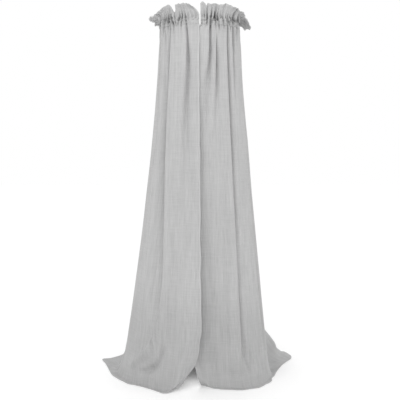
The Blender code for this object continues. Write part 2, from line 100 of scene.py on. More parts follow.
# %% Stations
Station = namedtuple(
    "Station", "name girth fall_x fall_y hem_x hem_y turn landing lift pull end")
STATIONS = [
    Station("slit, left", 0.9, 0.006, -0.082, -0.066, -0.066, 0.24, 0.66, 0.048, 0.16, 0.015),
    Station("left lap", 9.0, -0.036, -0.090, -0.088, -0.083, 0.22, 0.60, 0.032, 0.18, 0.010),
    Station("left inner", 17.5, -0.080, -0.092, -0.109, -0.106, 0.17, 0.55, 0.014, 0.15, 0.005),
    Station("hem corner", 30.0, -0.122, -0.084, -0.133, -0.118, 0.14, 0.50, 0.000, 0.00, 0.000),
    Station("left long", 47.5, -0.178, -0.064, -0.172, -0.096, 0.16, 0.45, 0.000, 0.00, 0.000),
    Station("left front", 60.0, -0.236, -0.018, -0.232, -0.052, 0.18, 0.45, 0.000, 0.00, 0.000),
    Station("left foot", 72.0, -0.292, 0.036, -0.297, -0.010, 0.18, 0.45, 0.000, 0.05, 0.000),
    Station("left side", 86.0, -0.328, 0.090, -0.366, 0.084, 0.15, 0.45, 0.000, 0.05, 0.000),
    Station("before left tip", 97.0, -0.336, 0.136, -0.418, 0.226, 0.12, 0.40, 0.000, 0.00, 0.000),
    Station("left tip", 101.0, -0.336, 0.150, -0.440, 0.280, 0.10, 0.40, 0.000, 0.00, 0.000),
    Station("after left tip", 105.0, -0.334, 0.168, -0.410, 0.298, 0.10, 0.40, 0.000, 0.00, 0.000),
    Station("left back", 119.0, -0.304, 0.228, -0.330, 0.380, 0.11, 0.45, 0.000, 0.00, 0.000),
    Station("back left", 143.0, -0.198, 0.300, -0.216, 0.404, 0.14, 0.45, 0.000, 0.00, 0.000),
    Station("back", 178.0, -0.010, 0.322, -0.010, 0.420, 0.14, 0.45, 0.000, 0.00, 0.000),
    Station("back right", 212.0, 0.172, 0.306, 0.190, 0.412, 0.16, 0.45, 0.000, 0.00, 0.000),
    Station("right corner", 232.0, 0.262, 0.276, 0.352, 0.400, 0.22, 0.70, 0.006, 0.12, 0.000),
    Station("right back tip", 244.0, 0.286, 0.226, 0.420, 0.320, 0.24, 0.80, 0.024, 0.24, 0.000),
    Station("right hollow", 258.0, 0.290, 0.150, 0.358, 0.200, 0.11, 0.55, 0.000, 0.05, 0.000),
    Station("right side", 270.0, 0.290, 0.082, 0.313, 0.082, 0.12, 0.60, 0.000, 0.00, 0.000),
    Station("right front", 288.0, 0.264, 0.006, 0.276, -0.014, 0.14, 0.50, 0.000, 0.00, 0.000),
    Station("right foot", 303.0, 0.212, -0.034, 0.226, -0.062, 0.12, 0.50, 0.000, 0.00, 0.000),
    Station("right long", 317.5, 0.168, -0.050, 0.178, -0.082, 0.12, 0.50, 0.000, 0.00, 0.000),
    Station("right middle", 336.5, 0.096, -0.050, 0.106, -0.080, 0.12, 0.50, 0.000, 0.00, 0.000),
    Station("right inner", 347.0, 0.042, -0.052, 0.054, -0.068, 0.12, 0.50, 0.004, 0.00, 0.000),
    Station("slit, right", 359.3, -0.017, -0.074, 0.004, -0.040, 0.16, 0.60, 0.024, 0.25, 0.000),
]
FLARE_POWER = 1.35  # 1 is a straight fall; more keeps the cloth close to the hoop for longer
print(len(STATIONS), "stations from the casing to the hem")

# %% [markdown]
# ## Curves and noise
#
# A table gives a value at a few places only. Straight lines between them would leave corners
# in the cloth, so a smooth curve joins them; it needs nothing but NumPy. Cloth is never quite
# even either, so a second helper makes soft random heights from a fixed seed, with cells that
# may be long one way and narrow the other.


# %% Helpers for curves and noise
def smooth_column(rows, column, girth):
    """A smooth curve through one column of a table, read at each girth."""
    known = np.array([row.girth for row in rows])
    value = np.array([getattr(row, column) for row in rows])
    slope = np.gradient(value, known)
    place = np.clip(np.searchsorted(known, girth) - 1, 0, len(known) - 2)
    span = known[place + 1] - known[place]
    t = (girth - known[place]) / span
    start = (2 * t**3 - 3 * t**2 + 1) * value[place]
    leave = (t**3 - 2 * t**2 + t) * span * slope[place]
    end = (3 * t**2 - 2 * t**3) * value[place + 1]
    arrive = (t**3 - t**2) * span * slope[place + 1]
    return start + leave + end + arrive


def ease(share):
    """From 0 to 1 with no kink at either end."""
    share = np.clip(share, 0.0, 1.0)
    return share * share * (3.0 - 2.0 * share)


def wander(across, down, cell_across, cell_down, seed):
    """Smooth random heights from -1 to 1 over a cloth, with cells of the given size."""
    random = np.random.default_rng(seed)
    x = across / cell_across - np.min(across / cell_across)
    y = down / cell_down - np.min(down / cell_down)
    knots = random.uniform(-1.0, 1.0, (int(x.max()) + 3, int(y.max()) + 3))
    i, j = x.astype(int), y.astype(int)
    u, v = ease(x - i), ease(y - j)
    low = knots[i, j] * (1 - u) + knots[i + 1, j] * u
    high = knots[i, j + 1] * (1 - u) + knots[i + 1, j + 1] * u
    return low * (1 - v) + high * v


# %% [markdown]
# ## Creases
#
# A crease is a long soft trough. On one side of its deepest line the cloth comes back out
# sharply, so that a fold seems to lie over its neighbour, and on the other side it rises
# slowly. Real creases wander, open and die away as they go down, so each one is a short list
# of places: `share` is how far down it is, from 0 at the casing to 1 at the floor, `girth`
# where its deepest line runs, `depth` how deep it is, and `before` and `after` the widths of
# its two sides in degrees. A negative depth is a ridge. The long ones are the creases that
# the solid has too, so the sheet lies on it.

# %% Crease tables
At = namedtuple("At", "share girth depth before after")
CREASES = {
    "by the slit, left": [
        At(0.00, 8.0, 0.002, 2.4, 4.0),
        At(0.10, 8.0, 0.003, 2.4, 4.0),
        At(0.50, 9.0, 0.003, 5.0, 6.0),
        At(1.00, 9.0, 0.000, 5.0, 6.0),
    ],
    "left inner": [
        At(0.00, 18.4, 0.006, 1.0, 0.9),
        At(0.05, 17.4, 0.017, 1.7, 0.9),
        At(0.10, 16.9, 0.022, 4.0, 1.1),
        At(0.16, 18.2, 0.022, 5.5, 1.8),
        At(0.24, 18.6, 0.022, 6.5, 4.5),
        At(0.32, 17.4, 0.020, 8.0, 7.0),
        At(0.42, 16.0, 0.012, 9.0, 8.0),
        At(0.60, 14.0, 0.006, 9.0, 9.0),
        At(1.00, 14.0, 0.000, 9.0, 9.0),
    ],
    "left panel's hollow": [
        At(0.28, 27.0, 0.000, 12.0, 10.0),
        At(0.40, 25.0, 0.012, 14.0, 14.0),
        At(0.55, 26.0, 0.018, 14.0, 14.0),
        At(0.72, 32.0, 0.016, 15.0, 10.0),
        At(0.85, 34.0, 0.014, 16.0, 9.0),
        At(1.00, 36.0, 0.008, 16.0, 8.0),
    ],
    "left long": [
        At(0.00, 45.6, 0.006, 1.0, 4.0),
        At(0.06, 46.6, 0.020, 1.0, 5.0),
        At(0.14, 48.8, 0.034, 0.9, 8.0),
        At(0.24, 50.4, 0.043, 0.9, 10.0),
        At(0.36, 50.6, 0.043, 0.9, 11.0),
        At(0.50, 49.2, 0.040, 1.0, 12.5),
        At(0.64, 48.6, 0.034, 1.3, 13.0),
        At(0.74, 48.4, 0.020, 1.8, 12.0),
        At(0.83, 48.4, 0.000, 2.5, 10.0),
    ],
    "left edge's ridge": [
        At(0.25, 68.0, 0.000, 6.0, 4.0),
        At(0.45, 67.0, -0.008, 7.0, 4.0),
        At(0.75, 66.0, -0.009, 7.0, 4.0),
        At(1.00, 68.0, 0.000, 7.0, 4.0),
    ],
    "left of the long one": [
        At(0.00, 57.0, 0.006, 2.0, 2.0),
        At(0.07, 57.0, 0.005, 2.4, 2.4),
        At(0.30, 62.0, 0.000, 3.0, 3.0),
    ],
    "left side": [
        At(0.00, 73.0, 0.005, 3.0, 3.0),
        At(0.10, 73.0, 0.009, 4.0, 4.0),
        At(0.50, 76.0, 0.004, 5.0, 5.0),
        At(1.00, 76.0, 0.004, 5.0, 5.0),
    ],
    "left back, first": [
        At(0.00, 96.0, 0.004, 4.0, 3.0),
        At(0.06, 96.0, 0.012, 6.0, 4.0),
        At(0.50, 96.0, 0.012, 6.0, 4.0),
        At(1.00, 96.0, 0.006, 6.0, 4.0),
    ],
    "left back, second": [
        At(0.00, 122.0, 0.004, 4.0, 6.0),
        At(0.06, 122.0, 0.013, 4.0, 7.0),
        At(0.50, 124.0, 0.018, 2.0, 8.0),
        At(1.00, 122.0, 0.016, 3.0, 8.0),
    ],
    "back, first": [
        At(0.00, 146.0, 0.004, 5.0, 2.0),
        At(0.06, 146.0, 0.014, 7.0, 1.6),
        At(0.50, 144.0, 0.012, 7.0, 2.0),
        At(1.00, 146.0, 0.008, 7.0, 4.0),
    ],
    "back, second": [
        At(0.00, 170.0, 0.004, 1.6, 4.0),
        At(0.06, 170.0, 0.011, 1.6, 6.0),
        At(0.50, 168.0, 0.018, 1.8, 8.0),
        At(1.00, 169.0, 0.016, 4.0, 8.0),
    ],
    "back, third": [
        At(0.00, 194.0, 0.004, 5.0, 1.4),
        At(0.06, 194.0, 0.014, 7.0, 1.4),
        At(0.50, 192.0, 0.012, 8.0, 2.0),
        At(1.00, 193.0, 0.008, 7.0, 5.0),
    ],
    "back, fourth": [
        At(0.00, 220.0, 0.004, 1.6, 5.0),
        At(0.06, 220.0, 0.012, 1.6, 7.0),
        At(0.50, 218.0, 0.019, 2.0, 9.0),
        At(1.00, 219.0, 0.018, 4.0, 8.0),
    ],
    "right hollow": [
        At(0.00, 258.0, 0.003, 5.0, 2.8),
        At(0.06, 258.0, 0.010, 6.0, 2.8),
        At(0.50, 259.5, 0.026, 6.0, 2.8),
        At(1.00, 259.5, 0.042, 6.0, 2.8),
    ],
    "right side's ridge": [
        At(0.12, 271.0, 0.000, 5.0, 4.0),
        At(0.30, 271.0, -0.006, 5.0, 4.0),
        At(0.70, 271.0, -0.007, 5.0, 4.0),
        At(1.00, 271.0, -0.002, 5.0, 4.0),
    ],
    "right edge's fold": [
        At(0.30, 278.0, 0.000, 3.0, 3.0),
        At(0.45, 278.0, 0.012, 4.0, 3.0),
        At(0.75, 278.0, 0.016, 4.5, 3.0),
        At(0.95, 278.0, 0.010, 4.0, 3.0),
        At(1.00, 278.0, 0.000, 4.0, 3.0),
    ],
    "right edge's ridge": [
        At(0.20, 287.0, 0.000, 3.0, 8.0),
        At(0.45, 287.0, -0.006, 3.0, 9.0),
        At(0.75, 287.0, -0.006, 3.0, 9.0),
        At(1.00, 288.0, -0.004, 3.0, 9.0),
    ],
    "right of the long one": [
        At(0.00, 305.2, 0.018, 1.2, 1.0),
        At(0.05, 305.0, 0.014, 1.6, 1.4),
        At(0.12, 305.2, 0.009, 2.0, 1.8),
        At(0.22, 304.0, 0.000, 3.0, 2.0),
    ],
    "right long": [
        At(0.00, 318.6, 0.008, 1.4, 0.8),
        At(0.05, 318.6, 0.020, 2.2, 1.2),
        At(0.14, 317.2, 0.023, 3.0, 1.4),
        At(0.27, 315.6, 0.019, 3.8, 1.5),
        At(0.40, 314.2, 0.015, 3.8, 1.8),
        At(0.50, 312.8, 0.013, 4.2, 2.4),
        At(0.65, 313.4, 0.013, 7.0, 1.4),
        At(0.85, 313.4, 0.013, 6.0, 1.4),
        At(0.95, 313.6, 0.008, 5.0, 2.0),
        At(1.00, 313.6, 0.004, 5.0, 2.0),
    ],
    "right panel's hollow": [
        At(0.20, 332.0, 0.000, 8.0, 12.0),
        At(0.40, 332.0, 0.012, 8.0, 14.0),
        At(0.60, 334.0, 0.010, 8.0, 14.0),
        At(1.00, 336.0, 0.006, 8.0, 14.0),
    ],
    "right middle": [
        At(0.00, 336.2, 0.000, 0.9, 0.8),
        At(0.03, 336.2, 0.003, 1.2, 0.8),
        At(0.07, 336.4, 0.014, 2.2, 0.9),
        At(0.10, 336.6, 0.018, 3.2, 0.9),
        At(0.15, 337.0, 0.017, 4.5, 1.2),
        At(0.22, 337.0, 0.009, 5.0, 3.0),
        At(0.32, 337.0, 0.004, 6.0, 5.0),
        At(0.60, 337.0, 0.000, 6.0, 5.0),
    ],
    "right inner": [
        At(0.00, 345.4, 0.010, 2.6, 0.9),
        At(0.03, 346.0, 0.017, 3.4, 0.9),
        At(0.08, 345.6, 0.023, 3.6, 1.0),
        At(0.13, 347.6, 0.018, 2.4, 2.6),
        At(0.19, 350.4, 0.010, 1.8, 4.0),
        At(0.28, 351.0, 0.000, 3.0, 4.0),
    ],
    "slit's hollow": [
        At(0.15, 357.0, 0.000, 6.0, 3.0),
        At(0.30, 356.0, 0.010, 10.0, 3.0),
        At(0.50, 354.0, 0.017, 14.0, 4.0),
        At(0.80, 354.0, 0.024, 13.0, 4.0),
        At(1.00, 355.0, 0.020, 13.0, 4.0),
    ],
}

# %% Depth of the creases
CUSP = 1.4  # 2 rounds the soft side's bottom, 1 makes it a straight slope to the deepest line


def crease_shape(places, share, column):
    """One column of a crease's list, at every share of the fall."""
    known = [place.share for place in places]
    return np.interp(share, known, [getattr(place, column) for place in places])


def creases(girth, share):
    """Depth of all creases."""
    depth = np.zeros_like(share)
    for places in CREASES.values():
        offset = girth - crease_shape(places, share, "girth")
        before = crease_shape(places, share, "before")
        after = crease_shape(places, share, "after")
        width = np.where(offset < 0, before, after)
        soft = np.where(width > 1.2 * np.minimum(before, after), CUSP, 2.0)
        depth += crease_shape(places, share, "depth") * np.exp(-(np.abs(offset / width) ** soft))
    return depth


print(len(CREASES), "creases, the deepest",
      max(place.depth for places in CREASES.values() for place in places), "m")

# %% [markdown]
# ## Gathers
#
# Drawing up a line of stitches packs the cloth into small puffs with narrow dark valleys
# between them. No two are alike: each valley has its own place on the lower and on the upper
# line, so it slants across the casing, and its own depth, width and run down the drop and up
# the frill. The ones in front are listed one by one, because they are what is seen first; the
# others are drawn once from a fixed seed. All three pieces share them, so that a valley goes
# on from one piece into the next. `PACKING` says how tightly the cloth is packed: the smooth
# stretch to the left of the slit is nearly flat.

# %% Gather tables
Packing = namedtuple("Packing", "girth strength")
PACKING = [
    Packing(0.9, 0.20),
    Packing(12.0, 0.22),
    Packing(26.0, 0.35),
    Packing(40.0, 0.90),
    Packing(60.0, 1.10),
    Packing(110.0, 1.00),
    Packing(180.0, 0.90),
    Packing(250.0, 1.00),
    Packing(290.0, 1.10),
    Packing(318.0, 0.80),
    Packing(336.0, 0.70),
    Packing(348.0, 0.60),
    Packing(359.3, 0.35),
]
Valley = namedtuple("Valley", "low high low_depth high_depth width drop_run frill_run")
FRONT_VALLEYS = [
    Valley(5.6, 5.6, 0.0007, 0.0063, 0.9, 0.016, 0.011),
    Valley(9.6, 11.0, 0.0007, 0.0040, 0.7, 0.016, 0.016),
    Valley(15.3, 16.2, 0.0014, 0.0063, 0.7, 0.019, 0.018),
    Valley(19.2, 21.0, 0.0080, 0.0101, 0.8, 0.041, 0.025),
    Valley(27.2, 25.2, 0.0056, 0.0124, 0.8, 0.022, 0.023),
    Valley(32.9, 29.5, 0.0053, 0.0113, 0.8, 0.019, 0.021),
    Valley(35.5, 38.3, 0.0068, 0.0081, 0.8, 0.022, 0.018),
    Valley(40.0, 44.5, 0.0109, 0.0095, 0.8, 0.035, 0.016),
    Valley(46.9, 48.6, 0.0110, 0.0121, 0.9, 0.040, 0.030),
    Valley(51.5, 51.8, 0.0062, 0.0095, 0.8, 0.027, 0.021),
    Valley(57.4, 56.0, 0.0121, 0.0145, 1.1, 0.062, 0.028),
    Valley(64.5, 61.5, 0.0078, 0.0095, 1.1, 0.046, 0.023),
    Valley(72.0, 68.0, 0.0093, 0.0135, 1.3, 0.054, 0.034),
    Valley(80.0, 76.0, 0.0093, 0.0121, 1.5, 0.054, 0.034),
    Valley(276.0, 278.0, 0.0093, 0.0121, 1.5, 0.046, 0.023),
    Valley(285.0, 289.0, 0.0093, 0.0135, 1.4, 0.041, 0.030),
    Valley(295.0, 305.0, 0.0116, 0.0135, 1.2, 0.041, 0.023),
    Valley(300.5, 309.5, 0.0070, 0.0068, 0.9, 0.032, 0.016),
    Valley(306.5, 313.5, 0.0125, 0.0081, 0.9, 0.049, 0.021),
    Valley(312.5, 317.5, 0.0078, 0.0054, 0.8, 0.024, 0.014),
    Valley(317.8, 321.5, 0.0125, 0.0061, 0.8, 0.032, 0.016),
    Valley(323.5, 328.0, 0.0093, 0.0076, 0.8, 0.024, 0.028),
    Valley(328.4, 331.5, 0.0047, 0.0049, 0.7, 0.019, 0.021),
    Valley(332.4, 335.0, 0.0121, 0.0097, 0.8, 0.024, 0.023),
    Valley(337.6, 338.3, 0.0078, 0.0142, 0.8, 0.022, 0.046),
    Valley(344.6, 338.9, 0.0092, 0.0068, 0.9, 0.016, 0.014),
    Valley(345.6, 344.2, 0.0090, 0.0135, 0.8, 0.022, 0.041),
    Valley(350.6, 350.4, 0.0047, 0.0095, 0.7, 0.016, 0.028),
    Valley(353.8, 353.8, 0.0053, 0.0108, 0.8, 0.019, 0.041),
    Valley(357.4, 357.2, 0.0040, 0.0027, 0.7, 0.016, 0.016),
]

# %% Gathers drawn from a seed
Drawn = namedtuple("Drawn", "count first last depths widths slant seed")
DRAWN_VALLEYS = (
    Drawn(36, 84.0, 273.0, (0.0060, 0.0120), (0.8, 1.4), 2.4, 11),  # main ones round the back
    Drawn(120, LEFT_EDGE, RIGHT_EDGE, (0.0016, 0.0056), (0.4, 0.8), 1.6, 12),  # small ones
)
DROP_RUNS = (0.010, 0.050)  # how far a drawn valley runs down the drop
FRILL_RUNS = (0.012, 0.034)  # and up the frill
UPPER_SHARE = 1.2  # a drawn valley is so much deeper on the upper line
GATHER_COUNT = 34
GATHER_DEPTH = 0.0048
VALLEY_SPREAD = 1.35  # the valleys' widths at the stitches, as a multiple of the table's


def gathers(girth):
    """The wider uneven waves that the stitch lines draw up, from -1 to 1."""
    turn = np.radians(girth)
    phase = GATHER_COUNT * turn + 1.1 * np.sin(3 * turn + 0.4) + 0.8 * np.sin(8 * turn)
    swell = 0.75 + 0.25 * np.sin(5 * turn + 1.3)
    return swell * np.sin(phase) * smooth_column(PACKING, "strength", girth)


def random_valleys(kind):
    """Valleys from a fixed seed, one in each of the kind's steps of the girth."""
    random = np.random.default_rng(kind.seed)
    pitch = (kind.last - kind.first) / kind.count
    rows = []
    for number in range(kind.count):
        low = kind.first + pitch * (number + random.uniform(0.15, 0.85))
        high = low + random.normal(0.0, kind.slant)
        strength = float(smooth_column(PACKING, "strength", np.array([low]))[0])
        rows.append(Valley(
            low, high, strength * random.uniform(*kind.depths),
            UPPER_SHARE * strength * random.uniform(*kind.depths),
            random.uniform(*kind.widths), random.uniform(*DROP_RUNS),
            random.uniform(*FRILL_RUNS)))
    return rows


def draw_valleys():
    """All valleys, as one array for each column of the table."""
    rows = list(FRONT_VALLEYS)
    for kind in DRAWN_VALLEYS:
        rows += random_valleys(kind)
    return Valley(*(np.array(column) for column in zip(*rows)))


valleys = draw_valleys()
apart = 1000.0 * DEGREE_AT_HOOP * (RIGHT_EDGE - LEFT_EDGE) / len(valleys.low)
print(len(valleys.low), "gathers, about %.1f mm apart" % apart)

# %% [markdown]
# ## Where the mesh needs its points
#
# The columns of a sheet could be evenly spaced, but then the narrow valleys would be jagged or
# the smooth panels would waste thousands of faces. So they are spread by a density, which is
# high in creases, in gathers and at the slit: its running total says where each one goes.

# %% Columns of the cloth
FINE_COLUMNS = 20000  # places where the columns' spacing is worked out
MAIN_VALLEY = 0.003  # valleys shallower than this get no columns of their own
Closer = namedtuple("Closer", "strength reach")  # reach in degrees, or in a valley's widths
AT_CREASES = Closer(0.3, 2.5)
AT_LOW_LINE = Closer(0.8, 1.8)
AT_HIGH_LINE = Closer(0.5, 1.8)
AT_SLIT = Closer(3.0, 1.5)


def girth_columns(count):
    """Degrees of the cloth's columns, closer together in creases, gathers and hems."""
    fine = np.linspace(LEFT_EDGE, RIGHT_EDGE, FINE_COLUMNS)
    density = np.ones_like(fine)

    def closer(how, at, width=1.0, scale=1.0):
        return how.strength * np.exp(-(((fine - at) / (how.reach * width)) ** 2)) / scale

    for places in CREASES.values():
        for place in places:
            density += closer(AT_CREASES, place.girth, scale=min(place.before, place.after))
    main = valleys.low_depth > MAIN_VALLEY
    for low, high, width in zip(valleys.low[main], valleys.high[main], valleys.width[main]):
        density += closer(AT_LOW_LINE, low, width, width)
        density += closer(AT_HIGH_LINE, high, width, width)
    for edge in (LEFT_EDGE, RIGHT_EDGE):
        density += closer(AT_SLIT, edge)
    total = np.concatenate([[0.0], np.cumsum((density[1:] + density[:-1]) / 2.0)])
    return np.interp(np.linspace(0.0, total[-1], count), total, fine)


def valley_field(girth, places, widths, weights):
    """Sum of all valleys; weights may differ from row to row."""
    offset = (girth[:, None] - places[..., None, :]) / widths
    return (np.exp(-(offset**2)) * weights[..., None, :]).sum(axis=-1)


def hoop_point(girth):
    """Where the hoop's middle line is at each girth."""
    angle = np.radians(girth)
    return -HOOP_HALF_WIDTH * np.sin(angle), -HOOP_HALF_DEPTH * np.cos(angle)


def hoop_outward(girth):
    """Unit directions that point straight out from the hoop."""
    angle = np.radians(girth)
    x = -np.sin(angle) / HOOP_HALF_WIDTH
    y = -np.cos(angle) / HOOP_HALF_DEPTH
    size = np.hypot(x, y)
    return x / size, y / size


def grid_normals(grid):
    """Unit normals of a grid of points, facing outwards."""
    along = np.gradient(grid, axis=1)
    down = np.gradient(grid, axis=0)
    normal = np.cross(along, down)
    return normal / np.maximum(np.linalg.norm(normal, axis=2, keepdims=True), 1e-12)


# %% [markdown]
# ## The fall of the drop
#
# The bare fall comes first: no creases yet, only the oval at the top, the curve outwards, the
# bend above the floor and the stretch that lies on it. The rows are close together in the
# gathers and round the bend, and far apart in the long smooth middle, which needs few.

# %% Rows of the drop
COLUMN_COUNT = 860
TOP_ROWS = 22
TOP_ZONE = 0.075  # share of the fall that the close rows at the top take
MIDDLE_ROWS = 34
TURN_ROWS = 22
FLOOR_ROWS = 18
HEM_RIPPLE = 0.004  # how far the hem wanders in and out
HEM_RIPPLE_CELL = 5.0  # degrees


def drop_base(girth):
    """The drop without its creases, and for each point its share of the fall and bend."""
    top_x, top_y = hoop_point(girth)
    column = {name: smooth_column(STATIONS, name, girth) for name in Station._fields[2:]}
    top = CASING_FOOT - FLOOR
    steps = np.concatenate([
        TOP_ZONE * np.linspace(0.0, 1.0, TOP_ROWS, endpoint=False) ** 1.3,
        np.linspace(TOP_ZONE, 1.0, MIDDLE_ROWS),
    ])
    rows, fall_share, bend_share = [], [], []
    for step in steps:
        height = top + (column["turn"] - top) * step
        below = 1.0 - height / top
        share = below**FLARE_POWER
        x = top_x + (column["fall_x"] - top_x) * share
        y = top_y + (column["fall_y"] - top_y) * share
        rows.append(np.stack([x, y, FLOOR + height], axis=1))
        fall_share.append(below)
        bend_share.append(np.zeros_like(girth))
    start = rows[-1]
    level = np.full_like(girth, FLOOR + LYING)
    fall = np.stack([column["fall_x"], column["fall_y"], level], axis=1)
    end = level + np.maximum(column["end"], 0.0)
    hem = np.stack([column["hem_x"], column["hem_y"], end], axis=1)
    way = hem[:, :2] - fall[:, :2]
    way /= np.linalg.norm(way, axis=1, keepdims=True)
    ripple = wander(girth, np.zeros_like(girth), HEM_RIPPLE_CELL, 1.0, 15)
    hem[:, :2] += HEM_RIPPLE * way * ripple[:, None]
    lift = np.maximum(column["lift"], 0.0)
    corner = fall + (hem - fall) * column["pull"][:, None]
    corner[:, 2] += 2.0 * lift
    landing = fall + (hem - fall) * column["landing"][:, None]
    landing[:, 2] += lift
    for step in np.linspace(0.0, 1.0, TURN_ROWS + 1)[1:]:
        rows.append((1 - step) ** 2 * start + 2 * step * (1 - step) * corner + step**2 * landing)
        fall_share.append(np.ones_like(girth))
        bend_share.append(np.full_like(girth, step))
    for step in 1.0 - (1.0 - np.linspace(0.0, 1.0, FLOOR_ROWS + 1)[1:]) ** 1.4:
        rows.append(landing + (hem - landing) * step)
        fall_share.append(np.ones_like(girth))
        bend_share.append(np.full_like(girth, 1.0 + step))
    return np.array(rows), np.array(fall_share), np.array(bend_share)


girth = girth_columns(COLUMN_COUNT)
base, fall_share, bend_share = drop_base(girth)
print("the drop has", base.shape[0], "rows of", base.shape[1], "points")

# %% [markdown]
# ## Forms at the foot
#
# Where gauze reaches the floor it does not simply bend: it buckles into soft ridges and
# hollows. Each form here is a bent line on the cloth, from place to place, with a height
# outwards (or inwards, where it is negative) that fades to both sides. A place is a girth and
# a run, the length of cloth from the hem.

# %% Foot forms
On = namedtuple("On", "girth run width height")
FORMS = {
    "left ridge": [
        On(45.6, 0.440, 0.012, 0.000),
        On(46.6, 0.360, 0.012, 0.012),
        On(48.4, 0.290, 0.014, 0.016),
        On(50.6, 0.220, 0.016, 0.019),
        On(54.5, 0.170, 0.018, 0.021),
        On(61.0, 0.135, 0.017, 0.020),
        On(70.0, 0.100, 0.017, 0.012),
        On(78.0, 0.080, 0.017, 0.000),
    ],
    "left hollow": [
        On(39.0, 0.225, 0.015, 0.000),
        On(42.5, 0.162, 0.016, -0.013),
        On(46.5, 0.116, 0.014, -0.017),
        On(53.0, 0.086, 0.013, -0.020),
        On(59.0, 0.071, 0.012, -0.014),
        On(65.0, 0.064, 0.011, 0.000),
    ],
    "left tip's fold": [
        On(90.0, 0.120, 0.014, 0.005),
        On(97.0, 0.030, 0.014, 0.005),
    ],
    "right bend": [
        On(303.0, 0.072, 0.016, 0.000),
        On(310.0, 0.068, 0.018, -0.004),
        On(336.0, 0.070, 0.018, -0.004),
        On(345.0, 0.066, 0.016, 0.000),
    ],
    "right long ridge": [
        On(309.0, 0.220, 0.012, 0.004),
        On(307.0, 0.170, 0.012, 0.009),
        On(300.5, 0.118, 0.014, 0.010),
        On(297.0, 0.069, 0.014, 0.008),
        On(296.0, 0.045, 0.014, 0.000),
    ],
    "right long hollow": [
        On(312.5, 0.150, 0.010, -0.003),
        On(309.0, 0.110, 0.012, -0.009),
        On(305.5, 0.075, 0.012, -0.006),
    ],
    "right side ridge": [
        On(288.0, 0.200, 0.012, 0.003),
        On(287.0, 0.120, 0.012, 0.007),
        On(287.0, 0.050, 0.012, 0.003),
    ],
    "right notch": [
        On(265.0, 0.300, 0.014, 0.000),
        On(265.0, 0.220, 0.015, -0.016),
        On(264.0, 0.120, 0.016, -0.028),
        On(263.0, 0.040, 0.016, -0.020),
        On(263.0, 0.000, 0.014, -0.010),
    ],
    "back foot's fold": [
        On(240.0, 0.230, 0.014, 0.004),
        On(246.0, 0.140, 0.014, 0.012),
        On(252.0, 0.070, 0.014, 0.006),
    ],
    "back foot's valley": [
        On(232.0, 0.200, 0.014, -0.004),
        On(237.0, 0.120, 0.014, -0.010),
        On(243.0, 0.050, 0.014, -0.004),
    ],
    "back ridge, left": [
        On(134.0, 0.200, 0.020, 0.006),
        On(130.0, 0.060, 0.020, 0.006),
    ],
    "back ridge, middle": [
        On(180.0, 0.180, 0.020, 0.006),
        On(184.0, 0.050, 0.020, 0.006),
    ],
    "back ridge, right": [
        On(205.0, 0.180, 0.020, 0.005),
        On(207.0, 0.060, 0.020, 0.005),
    ],
}
print(len(FORMS), "forms at the foot")

# %% Raise the foot forms
METRES_A_DEGREE = 0.0064  # at the foot


def foot_forms(girth, run):
    """Height of all forms, for cloth at these girths and at this run from the hem."""
    height = np.zeros_like(run)
    across = np.broadcast_to(girth * METRES_A_DEGREE, run.shape)
    for places in FORMS.values():
        form = np.zeros_like(run)
        for first, last in zip(places[:-1], places[1:]):
            a = np.array([first.girth * METRES_A_DEGREE, first.run])
            way = np.array([last.girth * METRES_A_DEGREE, last.run]) - a
            t = np.clip(((across - a[0]) * way[0] + (run - a[1]) * way[1]) / (way @ way), 0.0, 1.0)
            far = np.hypot(across - a[0] - t * way[0], run - a[1] - t * way[1])
            width = first.width + (last.width - first.width) * t
            here = (first.height + (last.height - first.height) * t) * np.exp(-((far / width) ** 2))
            form = np.where(np.abs(here) > np.abs(form), here, form)
        height += form
    return height


# %% [markdown]
# ## The drop's surface
#
# Now the parts are added up along the cloth's own outward direction: the creases go in, the
# gathers swell out and die away below the casing, the slit's left edge comes forward over the
# right one, and at the foot the forms come in while the creases fade. Two scales of crinkle
# go over all of it, much longer down the cloth than across it, as gauze dries.

# %% Sizes of the drop's surface
LAP_DEPTH = 0.0036
LAP_WIDTH = 0.012
LAP_RUN = 0.12
LAP_CLOSE = 0.012  # length of slit over which the right edge goes behind the left one
LAP_REACH = 14.0
SLIT_REACH = 7.0  # degrees over which the wandering of the slit's left edge dies away
GATHER_FADE = 0.064
GROOVE = 0.0002  # how far a stitch line pulls the cloth in
GROOVE_REACH = 0.005
CREASE_EASE = 0.016  # height over which a crease opens under the casing
VALLEY_OPENING = 12.0  # how much a valley widens on a metre of its way down
LOOSE_FROM = 0.06  # below the casing; from there the cloth hangs free of its gathers
DEGREE_OF_DROP = 0.0053  # metres of cloth in a degree, about half way down
Crinkle = namedtuple("Crinkle", "height across down seed")
LONG_CRINKLE = Crinkle(0.0016, 0.046, 0.42, 3)
FINE_CRINKLE = Crinkle(0.0006, 0.013, 0.16, 4)
FOOT_CRINKLE = Crinkle(0.0007, 0.030, 0.03, 5)
SLIT_RIPPLE = Crinkle(0.0024, 1.0, 0.045, 14)


# %% Offsets of the drop
def run_from_hem(grid):
    """Length of cloth from each point down to the hem."""
    steps = np.linalg.norm(np.diff(grid, axis=0), axis=2)
    total = np.concatenate([np.zeros((1, grid.shape[1])), np.cumsum(steps, axis=0)])
    return total[-1] - total


def crinkle(kind, across, down):
    """Random relief of one kind, in metres."""
    return kind.height * wander(across, down, kind.across, kind.down, kind.seed)


